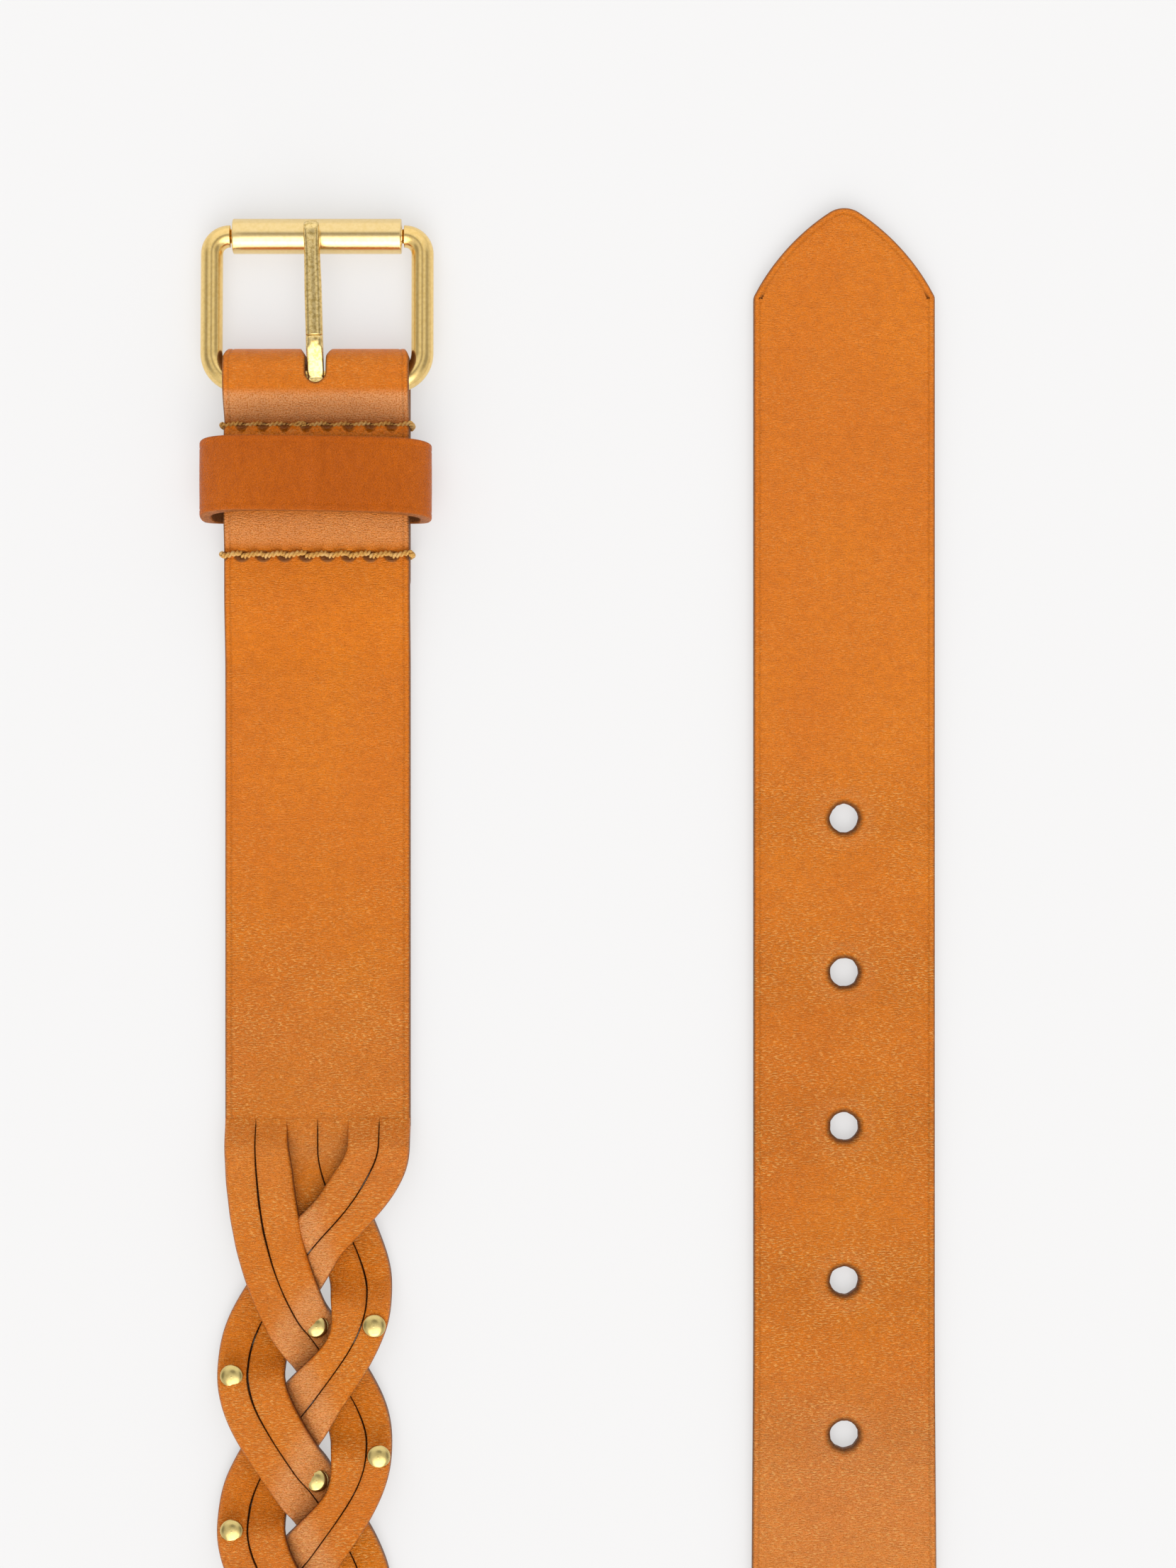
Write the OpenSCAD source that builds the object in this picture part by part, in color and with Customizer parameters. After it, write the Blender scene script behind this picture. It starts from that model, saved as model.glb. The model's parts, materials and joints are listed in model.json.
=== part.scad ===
// Leather belt with a roller buckle and a braided, riveted middle.
// The belt lies open: the buckle end and the pointed end lie flat and side by side, and the braid
// between them stands up on its edge and turns round in a half circle.
// X runs across the two legs, +Y towards the buckle and the tip, Z up from the table.
// A place on the belt is given by v (mm from the buckle's bar along the belt), u (across) and w
// (above the middle of the leather).

/* [Strap] */
// Width of the strap at the buckle end
strap_w = 30; // [29.5:0.5:30.5]
// Width of the pointed end
tip_w = 29.4; // [29:0.2:30]
// Thickness of the strap
strap_t = 2.4; // [2.2:0.1:2.5]
// Length from the buckle's bar to the tip
belt_len = 1050; // [1040:5:1100]
// Distance between the two legs, centre to centre
leg_pitch = 85.4; // [82:0.2:92]
// How much further forward the tip lies than the bar
tip_lead = 28.4; // [28:0.2:34]

/* [Buckle end] */
// Thickness of the skived leather round the bar
fold_t = 1.9; // [1.8:0.1:2]
// Length of the turned-under tab, from the bar
tab_len = 34; // [33:0.5:36]
// Height of the bar's centre above the table
bar_z = 4; // [3.9:0.1:4.1]
// Width of the notch for the prong
notch_w = 3.3; // [3.2:0.1:3.6]
// Distance from the bar to the first row of stitches
row_front_v = 7; // [6.8:0.1:7.2]
// Distance from the bar to the second row of stitches
row_rear_v = 27.9; // [27:0.1:29]
// Distance between stitch holes
stitch_pitch = 3.46; // [3:0.02:4]
// Thread diameter
thread_d = 0.8; // [0.6:0.05:0.9]

/* [Keeper] */
// Distance from the bar to the near edge of the keeper
keeper_v = 8.9; // [8.8:0.1:9]
// Length of the keeper along the strap
keeper_len = 12; // [11:0.5:12]
// Outer width of the keeper
keeper_w = 37.4; // [37:0.2:38]
// Height of the top of the keeper
keeper_top = 12.1; // [11.8:0.1:13]
// Thickness of the keeper's leather
keeper_t = 2; // [1.8:0.1:2]

/* [Buckle] */
// Outer width of the buckle frame
frame_w = 37.7; // [37.5:0.1:39]
// Distance between the frame's two bars
frame_len = 23.7; // [23:0.1:25]
// Diameter of the frame's wire
wire_d = 3.6; // [3.5:0.1:3.6]
// Diameter of the thinner bar inside the roller
axle_d = 3.2; // [3:0.1:3.3]
// Outer diameter of the roller
roller_d = 5.7; // [5.5:0.1:6]
// Length of the roller
roller_len = 27.3; // [26:0.1:27.5]
// Radial play of the roller and of the prong
bar_play = 0.08; // [0.06:0.01:0.1]
// Width of the prong
prong_w = 2.7; // [2.5:0.1:2.8]
// Sideways lean of the prong, in degrees
prong_lean = 1.6; // [0:0.2:1.8]

/* [Braid] */
// Distance from the bar to the start of the slits
braid_start = 119.2; // [118:0.2:122]
// Width of one strand
strand_w = 5; // [4.9:0.1:5]
// Thickness of one strand
strand_t = 2.1; // [2:0.1:2.2]
// Length of one full wave of a pair of strands
wave_len = 75; // [75:1:78]
// Number of full waves
wave_count = 9; // [7:1:9]
// Sideways travel of a pair of strands
wave_side = 8.92; // [8.8:0.02:9.1]
// Height of a strand above or below the middle where pairs cross
wave_rise = 1.45; // [1.4:0.05:1.6]
// Sideways drift of the braid near the buckle end
braid_drift = -2.1; // [-2.2:0.1:0]

/* [Rivets] */
// Diameter of a rivet's domed cap
rivet_d = 3.85; // [3.4:0.05:4]
// Height of the dome above the leather
rivet_h = 0.8; // [0.6:0.1:1]

/* [Holes] */
// Diameter of the holes for the prong
hole_d = 4.6; // [4:0.1:5]
// Distance between holes
hole_pitch = 25; // [20:0.5:25]
// Number of holes
hole_count = 5; // [3:1:5]
// Distance from the tip to the first hole
hole_first = 99; // [90:1:100]

/* [Hidden] */
leather = [0.80, 0.43, 0.13];
dark_leather = [0.70, 0.35, 0.10];
brass = [0.72, 0.58, 0.32];
gold_thread = [0.80, 0.62, 0.30];
steel = [0.62, 0.62, 0.64];

// Route of the belt
leg_r = leg_pitch / 2;
turn_len = PI * leg_r;
turn_v = (belt_len - turn_len - tip_lead) / 2;
turn_mid_v = turn_v + turn_len / 2;
turn_end_v = turn_v + turn_len;
split_gap = 0.3;
flex_v = 75;
tip_flex_v = belt_len - 225;
twist_up = [215, 400];
twist_down = [600, 760];

// Braid
braid_lead = 9.45;
zero_v = braid_start + braid_lead;
braid_end = zero_v + wave_count * wave_len + braid_lead;
last_turn = 360 * wave_count;
wave_third = -0.0255 * wave_side;
wave_slope = (wave_side + 3 * wave_third) * 2 * PI / wave_len;
drift_fade = [190, 300];
slit = 0.1;
squareness = 5;
roll_arm = 14;
rise_len = 5;
ring_step = wave_len / 24;
section_cols = 3;
pair_enter = [braid_start, braid_start + 4.8, braid_start + 3.8];
pair_exit = braid_end - 5;
join_deg = [0, 90, 180];
join_slope = [0.9 * wave_slope, 0, -wave_slope];
leave_slope = [-wave_slope, 0, wave_slope];
leave_deg = [last_turn - 180, last_turn - 90, last_turn];
first_deg = [-30, 30, 150];
final_deg = [last_turn - 150, last_turn - 30, last_turn + 30];

// Buckle
frame_tilt = asin((bar_z - roller_d / 2) / frame_len);
wire_r = wire_d / 2;
side_x = frame_w / 2 - wire_r;
heel_r = 4.6;
roller_play = 0.2;
toe_r = side_x - roller_len / 2 - roller_play;
prong_ring_r = 3;
prong_rise = 10.2;
prong_rest_r = roller_d / 2 + 0.2;
prong_half_t = frame_len * sin(prong_rise) - prong_rest_r;

// Buckle end
fold_front = 1.3;
fold_out_r = bar_z;
fold_in_r = fold_out_r - fold_t;
notch_v = 2.1;
prong_clear = 0.3;
relief_r = 2.5;
relief_end_r = 3.6;
layer_gap = 0.1;
tab_clear = 0.4;
tail_len = 13;
strip_t = 1.3;
low_z = fold_t + layer_gap;
high_z = low_z + strip_t;
keeper_flat = strap_w / 2 + 0.3;
keeper_mid_z = 6.55;
crown_power = 0.83;
keeper_end_v = keeper_v + keeper_len;
tab_gap = layer_gap / 2;
stitch_count = 9;

// Bounding box of the lying belt, for the origin
left_edge = -leg_r - frame_w / 2;
right_edge = leg_r + strap_w / 2;
back_edge = -(turn_v + leg_r + wave_rise + strand_t / 2 + rivet_h);
shift = [-(left_edge + right_edge) / 2, -(tip_lead + back_edge) / 2, 0];
bar_at = shift + [-leg_r, 0, bar_z];
tip_at = shift + [leg_r, tip_lead, 0];
eps = 0.01;

STRANDS = ["1", "2", "3", "4", "5", "6"];

// General helpers
function clamp(x, lo, hi) = max(lo, min(hi, x));
function mix(a, b, s) = a + (b - a) * s;
function ease(s) = let (c = clamp(s, 0, 1)) c * c * (3 - 2 * c);
function ramp(v, range) = ease((v - range[0]) / (range[1] - range[0]));
function tanh(x) = 1 - 2 / (exp(2 * x) + 1);
function hermite(s, y0, y1, d0, d1) =
    y0 * (1 + 2 * s) * pow(1 - s, 2) + d0 * s * pow(1 - s, 2)
    + y1 * s * s * (3 - 2 * s) + d1 * s * s * (s - 1);
function arc(centre, rx, ry, a0, a1, steps) =
    [for (i = [0:steps]) let (a = mix(a0, a1, i / steps)) centre + [rx * cos(a), ry * sin(a)]];

// The belt's route: inward points to the other leg, forward along the belt
function turn_deg(v) = 180 * clamp((v - turn_v) / turn_len, 0, 1);
function inward(v) = [cos(turn_deg(v)), sin(turn_deg(v)), 0];
function forward(v) = [sin(turn_deg(v)), -cos(turn_deg(v)), 0];
function run(v) = min(v - turn_v, 0) + max(v - turn_end_v, 0);
function twist(v) = 90 * ramp(v, twist_up) * (1 - ramp(v, twist_down));
function across(v) = cos(twist(v)) * inward(v) + [0, 0, sin(twist(v))];
function outward(v) = [0, 0, cos(twist(v))] - sin(twist(v)) * inward(v);
function rise(v) =
    wave_rise * ease((v - braid_start) / rise_len) * ease((braid_end - v) / rise_len);
function middle_z(v) = strap_w / 2 * sin(twist(v)) + (strand_t / 2 + rise(v)) * cos(twist(v));
function centre(v) =
    shift + [0, -turn_v, middle_z(v)] - leg_r * inward(v) + run(v) * forward(v);
function place(v, u, w) = centre(v) + u * across(v) + w * outward(v);

// The braid: pair 0 starts on the left, pair 1 in the middle and pair 2 on the right
function home(pair) = 2 * strand_w * (pair - 1);
function phase(v, pair) = 360 * (v - zero_v) / wave_len + 120 * (pair - 1);
function phase_v(deg, pair) = zero_v + wave_len * (deg - 120 * (pair - 1)) / 360;
function drift(v) = braid_drift * (1 - ramp(v, drift_fade));
function wave(v, pair) =
    let (a = phase(v, pair)) drift(v) + wave_side * sin(a) + wave_third * sin(3 * a);
function joining(v, pair) =
    let (v0 = pair_enter[pair], v1 = phase_v(join_deg[pair], pair), d = v1 - v0)
    hermite((v - v0) / d, home(pair), wave(v1, pair), 0, d * join_slope[pair]);
function leaving(v, pair) =
    let (v0 = phase_v(leave_deg[pair], pair), d = pair_exit - v0)
    hermite((v - v0) / d, wave(v0, pair), home(pair), d * leave_slope[pair], 0);
function pair_u(v, pair) =
    v <= pair_enter[pair] || v >= pair_exit ? home(pair)
    : v < phase_v(join_deg[pair], pair) ? joining(v, pair)
    : v > phase_v(leave_deg[pair], pair) ? leaving(v, pair)
    : wave(v, pair);
function pair_slope(v, pair) = pair_u(v + 0.5, pair) - pair_u(v - 0.5, pair);
function strand_z(v, pair, du) =
    let (roll = du / roll_arm * 180 / PI * clamp(pair_slope(v, pair) / wave_slope, -1, 1),
         a = clamp(phase(v, pair), first_deg[pair], final_deg[pair]) + roll)
    -rise(v) * tanh(squareness * sin(2 * a)) / tanh(squareness);
// Sideways place in a strand, from 0 at its left edge to 1 at its right edge
function strand_du(v, pair, side, q) =
    let (half = (strand_w - slit / 2) * sqrt(1 + pow(pair_slope(v, pair), 2)),
         near = slit / 2)
    side < 0 ? mix(-half, -near, q) : mix(near, half, q);
function strand_point(v, pair, side, q, w) =
    let (du = strand_du(v, pair, side, q))
    place(v, pair_u(v, pair) + du, strand_z(v, pair, du) + w);
function strand_ring(v, pair, side) =
    let (last = section_cols - 1)
    concat([for (i = [0:last]) strand_point(v, pair, side, i / last, strand_t / 2)],
           [for (i = [last:-1:0]) strand_point(v, pair, side, i / last, -strand_t / 2)]);
// Places of the rings between two ends, on one grid that all strands share
function ring_places(v0, v1) =
    concat([v0],
           [for (i = [0:ceil((v1 - v0) / ring_step) + 1])
               let (v = zero_v + ring_step * (ceil((v0 - zero_v) / ring_step) + i))
               if (v > v0 + ring_step / 4 && v < v1 - ring_step / 4) v],
           [v1]);

module strand(number, v0, v1) {
    pair = floor((number - 1) / 2);
    side = number % 2 == 1 ? -1 : 1;
    places = ring_places(v0, v1);
    size = 2 * section_cols;
    last = (len(places) - 1) * size;
    points = [for (v = places) each strand_ring(v, pair, side)];
    walls = [for (i = [0:len(places) - 2], j = [0:size - 1])
        let (a = i * size + j, b = i * size + (j + 1) % size)
        each [[a, b, b + size], [a, b + size, a + size]]];
    start = [for (j = [0:section_cols - 2]) each
        [[j, size - 1 - j, size - 2 - j], [j, size - 2 - j, j + 1]]];
    end = [for (j = [0:section_cols - 2]) each
        [[last + j, last + size - 2 - j, last + size - 1 - j],
         [last + j, last + j + 1, last + size - 2 - j]]];
    color(leather) polyhedron(points, concat(walls, start, end), convexity = 8);
}

module strand_left(number) {
    strand(number, braid_start, turn_mid_v - split_gap / 2);
}

module strand_right(number) {
    strand(number, turn_mid_v + split_gap / 2, braid_end);
}

// Rivets, each as [v, pair, side, place across the strand]: one on every outer edge, and one
// where a pair starts across. They sit a little behind or ahead of the wave's own places
scallops = [0:3 * wave_count];
right_lag = [5.1, 1.3];
left_lag = 0.85;
centre_lag = -0.7;
function right_rivet(i) =
    [phase_v(90, 1) + i * wave_len / 3 + right_lag[i % 2], (2 * i + 1) % 3, 1, 0.5];
function left_rivet(i) = [phase_v(150, 1) + i * wave_len / 3 + left_lag, (2 * i + 2) % 3, -1, 0.5];
function centre_rivet(i) = [phase_v(120, 1) + i * wave_len / 3 + centre_lag, (2 * i) % 3, 1, 0.4];
all_rivets = concat([for (i = scallops) right_rivet(i)],
                    [for (i = scallops) left_rivet(i)],
                    [for (i = scallops) centre_rivet(i)]);
function rivets_between(v0, v1) = [for (r = all_rivets) if (r[0] > v0 && r[0] < v1) r];
turn_clear = 3;
left_span = [braid_start + 20, turn_mid_v - turn_clear];
right_span = [turn_mid_v + turn_clear, braid_end - 32];

module at_rivet(r) {
    v = r[0];
    du = strand_du(v, r[1], r[2], r[3]);
    p = place(v, pair_u(v, r[1]) + du, strand_z(v, r[1], du));
    x = across(v);
    y = -forward(v);
    z = outward(v);
    multmatrix([[x[0], y[0], z[0], p[0]], [x[1], y[1], z[1], p[1]], [x[2], y[2], z[2], p[2]]])
        children();
}

module rivet_cap() {
    rim_h = 0.25;
    post_d = 1.5;
    post_h = 1.6;
    middle_d = 0.8 * rivet_d;
    top_d = 0.4 * rivet_d;
    base = strand_t / 2;
    step = (rivet_h - rim_h) / 2;
    translate([0, 0, base - post_h]) cylinder(h = post_h + eps, d = post_d, $fn = 24);
    translate([0, 0, base]) cylinder(h = rim_h, d = rivet_d, $fn = 32);
    translate([0, 0, base + rim_h]) cylinder(h = step, d1 = rivet_d, d2 = middle_d, $fn = 32);
    translate([0, 0, base + rim_h + step]) cylinder(h = step, d1 = middle_d, d2 = top_d, $fn = 32);
}

module rivet_back() {
    back_h = 0.45;
    translate([0, 0, -strand_t / 2]) cylinder(h = back_h, d = 0.9 * rivet_d, $fn = 32);
}

module rivet_caps(span) {
    color(brass) for (r = rivets_between(span[0], span[1])) at_rivet(r) rivet_cap();
}

module rivet_backs(span) {
    color(brass) for (r = rivets_between(span[0], span[1])) at_rivet(r) rivet_back();
}

// The buckle, drawn with the bar along X at the origin and the roller along +Y
module at_bar() {
    translate(bar_at) rotate([-frame_tilt, 0, 0]) children();
}

module rod_x(length, r) {
    rotate([0, 90, 0]) cylinder(h = length, r = r, center = true, $fn = 48);
}

module frame_corner(bend_r, start) {
    rotate([0, 0, start]) rotate_extrude(angle = 90, $fn = 64)
        translate([bend_r, 0]) circle(r = wire_r, $fn = 48);
}

module frame_half() {
    arm_len = frame_len - heel_r - toe_r;
    translate([side_x - heel_r, heel_r, 0]) frame_corner(heel_r, 270);
    translate([side_x, heel_r - eps, 0]) rotate([-90, 0, 0])
        cylinder(h = arm_len + 2 * eps, r = wire_r, $fn = 48);
    translate([side_x - toe_r, frame_len - toe_r, 0]) frame_corner(toe_r, 0);
}

module buckle_frame() {
    color(brass) at_bar() {
        rod_x(2 * (side_x - heel_r) + 2 * eps, wire_r);
        frame_half();
        mirror([1, 0, 0]) frame_half();
        translate([0, frame_len, 0]) rod_x(roller_len + 2 * roller_play + 2 * eps, axle_d / 2);
    }
}

module roller() {
    color(brass) at_bar() translate([0, frame_len, 0]) difference() {
        rod_x(roller_len, roller_d / 2);
        rod_x(roller_len + 1, axle_d / 2 + bar_play);
    }
}

// Side view of the prong's shank as [along, above], on a line that rises from the bar; its nose
// follows the roller down
function prong_outline() =
    let (t = prong_half_t, bend = 64, roller_at = frame_len * [cos(prong_rise), -sin(prong_rise)],
         nose = roller_at + (prong_rest_r + t) * [cos(bend), sin(bend)])
    concat([[wire_r + 0.5, -t]],
           arc(roller_at, prong_rest_r, prong_rest_r, 90, bend, 4),
           arc(nose, t, t, bend - 180, bend, 8),
           arc(roller_at, prong_rest_r + 2 * t, prong_rest_r + 2 * t, bend, 90, 4),
           [[wire_r + 0.5, t]]);

module prong() {
    color(brass) at_bar() rotate([0, 0, prong_lean]) {
        difference() {
            union() {
                rod_x(prong_w, prong_ring_r);
                rotate([prong_rise, 0, 0]) rotate([90, 0, 90])
                    linear_extrude(prong_w, center = true) polygon(prong_outline());
            }
            rod_x(prong_w + 1, wire_r + bar_play);
        }
    }
}

// The buckle end of the strap, drawn from the side with the bar at y = 0
stations = [[0, bar_z + fold_in_r], [row_front_v, low_z], [keeper_v - tab_gap, high_z],
            [keeper_end_v + tab_gap, high_z], [row_rear_v, low_z], [tab_len - tab_clear, low_z],
            [tab_len + tail_len, 0], [flex_v, 0]];
function under_z(v, i = 0) =
    i > len(stations) - 2 ? stations[len(stations) - 1][1]
    : v <= stations[i + 1][0] ? mix(stations[i][1], stations[i + 1][1],
        ease((v - stations[i][0]) / (stations[i + 1][0] - stations[i][0])))
    : under_z(v, i + 1);
function under_slope(v) = (under_z(v + 0.05) - under_z(max(v - 0.05, 0))) / 0.1;
function upper_z(v) = under_z(v) + sqrt(1 + pow(under_slope(v), 2))
    * mix(fold_t, strap_t, ramp(v, [row_front_v, keeper_end_v]));
// Closer together where the leather curves
side_places = concat([0, 1, 2, 3, 4, 5, 6, 6.6, 7, 7.4, 7.8, 8.2, 8.6, 8.9, 10, 15, 20, 21],
                     [22.2, 23.4, 24.6, 25.8, 27, 27.9, 30, 33.6],
                     [for (i = [1:6]) mix(tab_len - tab_clear, tab_len + tail_len, i / 6)],
                     [flex_v - split_gap / 2]);
function side_outline() =
    concat([for (i = [len(side_places) - 1:-1:0]) [-side_places[i], upper_z(side_places[i])]],
           arc([fold_front, bar_z], fold_out_r, fold_out_r, 90, -90, 14),
           [[-tab_len, 0], [-tab_len, fold_t]],
           arc([fold_front, bar_z], fold_in_r, fold_in_r, -90, 90, 10),
           [for (v = side_places) [-v, under_z(v)]]);

module notch() {
    end_y = notch_w / 2 - notch_v;
    low = -1 - bar_z;
    height = 2 * bar_z + 4;
    translate([-notch_w / 2, end_y, low]) cube([notch_w, 2 * bar_z, height]);
    translate([0, end_y, low]) cylinder(h = height, d = notch_w, $fn = 32);
    rod_x(notch_w, prong_ring_r + prong_clear);
}

// Room inside the fold's ends for the frame's bent corners
module corner_relief() {
    start = side_x - heel_r - 0.3;
    flare = strap_w / 2 - 1;
    for (end = [-1, 1]) scale([end, 1, 1]) {
        translate([start, 0, 0]) rotate([0, 90, 0])
            cylinder(h = flare - start + eps, r = relief_r, $fn = 48);
        translate([flare, 0, 0]) rotate([0, 90, 0])
            cylinder(h = 1.05, r1 = relief_r, r2 = relief_end_r, $fn = 48);
    }
}

module buckle_strap() {
    color(leather) translate(bar_at) difference() {
        translate([0, 0, -bar_z]) rotate([90, 0, 90])
            linear_extrude(strap_w, center = true) polygon(side_outline());
        notch();
        corner_relief();
    }
}

// The keeper, drawn as [x, z] around the strap
crown_steps = 14;
function crown_part(a, side) = side * pow(a, crown_power);
function half_ring(flat, low, half, high) =
    concat(arc([flat, keeper_mid_z], half - flat, keeper_mid_z - low, -90, 0, 8),
           [for (i = [1:crown_steps]) let (a = 90 * i / crown_steps)
               [crown_part(cos(a), half), keeper_mid_z + crown_part(sin(a), high - keeper_mid_z)]]);
function whole_ring(points) =
    concat(points, [for (i = [len(points) - 2:-1:0]) [-points[i][0], points[i][1]]]);

module keeper_ring(flat, low, half, high, length) {
    rotate([90, 0, 0]) linear_extrude(length, center = true)
        polygon(whole_ring(half_ring(flat, low, half, high)));
}

module at_keeper() {
    translate([bar_at[0], bar_at[1] - keeper_v - keeper_len / 2, 0]) children();
}

module keeper_loop() {
    low = low_z - tab_gap;
    high = high_z - tab_gap;
    color(dark_leather) at_keeper() difference() {
        keeper_ring(keeper_flat, low, keeper_w / 2, keeper_top, keeper_len);
        keeper_ring(keeper_flat, high, keeper_w / 2 - keeper_t, keeper_top - keeper_t, keeper_len + 1);
    }
}

// Two wire staples that join the keeper's ends under the strap
module keeper_staples() {
    staple_w = 7;
    staple_d = 0.5;
    crown_z = high_z - tab_gap - staple_d;
    foot_z = low_z - tab_gap + 0.1;
    color(steel) at_keeper() for (y = [-3, 3]) translate([0, y, 0]) {
        translate([0, 0, crown_z]) rod_x(staple_w, staple_d / 2);
        for (x = [-1, 1]) translate([x * (staple_w - staple_d) / 2, 0, foot_z])
            cylinder(h = crown_z - foot_z, d = staple_d, $fn = 24);
    }
}

// A row of stitches: the thread runs along both faces, down through every hole and round both edges
module stitches(v) {
    top = upper_z(v) + thread_d / 8;
    low = thread_d / 2;
    r = thread_d / 2;
    color(gold_thread) translate([bar_at[0], bar_at[1] - v, 0]) {
        for (z = [low, top]) translate([0, 0, z]) rod_x(strap_w, r);
        for (i = [0:stitch_count - 2])
            translate([(i - stitch_count / 2 + 1) * stitch_pitch, 0, low])
                cylinder(h = top - low, r = r, $fn = 24);
        for (end = [-1, 1]) translate([end * strap_w / 2, 0, 0]) {
            translate([0, 0, low]) cylinder(h = top - low, r = r, $fn = 24);
            for (z = [low, top]) translate([0, 0, z]) sphere(r = r, $fn = 24);
        }
    }
}

module front_stitches() {
    stitches(row_front_v);
}

module rear_stitches() {
    stitches(row_rear_v);
}

module strap_body() {
    length = braid_start - flex_v - split_gap / 2;
    color(leather) translate(bar_at + [-strap_w / 2, -braid_start, -bar_z])
        cube([strap_w, length, strap_t]);
}

// The pointed end
module billet_base() {
    length = tip_flex_v - braid_end - split_gap / 2;
    color(leather) translate(tip_at + [0, braid_end - belt_len, 0]) linear_extrude(strap_t)
        polygon([[-strap_w / 2, 0], [-tip_w / 2, length], [tip_w / 2, length], [strap_w / 2, 0]]);
}

// Right half of the point, from the nose to the shoulder, with the nose at the origin
nose_r = 4.43;
point_side_r = 36.3;
point_side_at = [-17.6, -31];
shoulder_y = -13.9;
function tip_half() =
    concat(arc([0, -nose_r], nose_r, nose_r, 90, 56.5, 4),
           arc(point_side_at, point_side_r, point_side_r, 55, 29.4, 10),
           [[tip_w / 2 - 0.2, shoulder_y], [tip_w / 2, shoulder_y - 0.9]]);
function tip_outline(length) =
    concat(tip_half(), [[tip_w / 2, -length], [-tip_w / 2, -length]],
           [for (i = [len(tip_half()) - 1:-1:1]) [-tip_half()[i][0], tip_half()[i][1]]]);

module billet_tip() {
    length = belt_len - tip_flex_v - split_gap / 2;
    color(leather) translate(tip_at) difference() {
        linear_extrude(strap_t) polygon(tip_outline(length));
        for (i = [0:hole_count - 1])
            translate([0, -hole_first - i * hole_pitch, -1])
                cylinder(h = strap_t + 2, d = hole_d, $fn = 48);
    }
}

buckle_frame();
roller();
prong();
buckle_strap();
keeper_loop();
keeper_staples();
front_stitches();
rear_stitches();
strap_body();
strand_left(1);  // strand_1_left
strand_left(2);  // strand_2_left
strand_left(3);  // strand_3_left
strand_left(4);  // strand_4_left
strand_left(5);  // strand_5_left
strand_left(6);  // strand_6_left
strand_right(1);  // strand_1_right
strand_right(2);  // strand_2_right
strand_right(3);  // strand_3_right
strand_right(4);  // strand_4_right
strand_right(5);  // strand_5_right
strand_right(6);  // strand_6_right
rivet_caps(left_span);  // rivet_caps_left
rivet_backs(left_span);  // rivet_backs_left
rivet_caps(right_span);  // rivet_caps_right
rivet_backs(right_span);  // rivet_backs_right
billet_base();
billet_tip();
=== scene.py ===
"""Looks of the leather belt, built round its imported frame.

Shapes are worked out in millimetres in the row frame and made in metres. A place on the belt is
given by v (mm from the buckle's bar along the belt), u (across) and w (above the middle of the
leather), as in the part's own source. Every leather piece keeps its own (u, v) in the UV map
"hide", so that the grain runs on from piece to piece.
"""
import json

import bpy
import numpy as np
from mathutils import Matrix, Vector
from mathutils.geometry import delaunay_2d_cdt


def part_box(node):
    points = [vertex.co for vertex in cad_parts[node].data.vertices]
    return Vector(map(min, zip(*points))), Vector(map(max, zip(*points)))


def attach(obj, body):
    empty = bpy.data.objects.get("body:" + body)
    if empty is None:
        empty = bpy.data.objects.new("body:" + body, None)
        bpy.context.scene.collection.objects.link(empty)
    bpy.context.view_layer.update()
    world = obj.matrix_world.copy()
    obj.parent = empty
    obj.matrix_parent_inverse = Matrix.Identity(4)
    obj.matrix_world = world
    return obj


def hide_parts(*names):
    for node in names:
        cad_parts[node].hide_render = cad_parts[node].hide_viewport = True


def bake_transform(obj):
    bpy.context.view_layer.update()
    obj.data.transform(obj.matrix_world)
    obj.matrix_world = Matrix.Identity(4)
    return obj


MM = 0.001
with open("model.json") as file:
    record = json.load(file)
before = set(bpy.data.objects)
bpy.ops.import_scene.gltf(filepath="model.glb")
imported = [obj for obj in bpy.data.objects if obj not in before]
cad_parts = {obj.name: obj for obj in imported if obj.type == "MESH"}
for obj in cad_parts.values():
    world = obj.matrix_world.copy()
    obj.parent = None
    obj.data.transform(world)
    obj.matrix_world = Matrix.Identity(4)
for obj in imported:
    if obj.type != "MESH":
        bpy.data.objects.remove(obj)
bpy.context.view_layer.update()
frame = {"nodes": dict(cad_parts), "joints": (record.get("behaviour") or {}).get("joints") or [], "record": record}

# Sizes and places from the frame, in mm
joint_at = {j["name"]: np.array(j["pos_m"]) / MM for j in frame["joints"]}


def box(node):
    """The lowest and highest corner of a CAD node."""
    return [np.array(corner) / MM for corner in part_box(node)]


BAR = joint_at["frame_swing"]
ROLLER = joint_at["roller_spin"]
TIP_X, TIP_Y = joint_at["tip_end_flex"][0], box("billet_tip")[1][1]
BODY_LOW, BODY_HIGH = box("strap_body")
STRAP_W = BODY_HIGH[0] - BODY_LOW[0]
STRAP_T = BODY_HIGH[2]
BRAID_START = BAR[1] - BODY_LOW[1]
TIP_W = box("billet_tip")[1][0] - box("billet_tip")[0][0]
LEG_R = (TIP_X - BAR[0]) / 2
TURN_LEN = np.pi * LEG_R
STRAND_T = 2.1
WAVE_RISE = 1.45
MIDDLE_X = (TIP_X + BAR[0]) / 2
TURN_Y = joint_at["turn_open"][1] + LEG_R + WAVE_RISE + STRAND_T / 2
TURN_V = BAR[1] - TURN_Y
TURN_END_V = TURN_V + TURN_LEN
BELT_LEN = TURN_END_V + TIP_Y - TURN_Y
BRAID_END = BELT_LEN - (TIP_Y - box("billet_base")[0][1])
HOLES = sorted((m["pos_m"][1] / MM for m in frame["record"]["mounts"] if m["kind"] == "bore"),
               reverse=True)
HOLE_R = frame["record"]["mounts"][0]["dims"]["r_mm"]
FRAME_W = box("buckle_frame")[1][0] - box("buckle_frame")[0][0]
ROLLER_LEN = box("roller")[1][0] - box("roller")[0][0]
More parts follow.
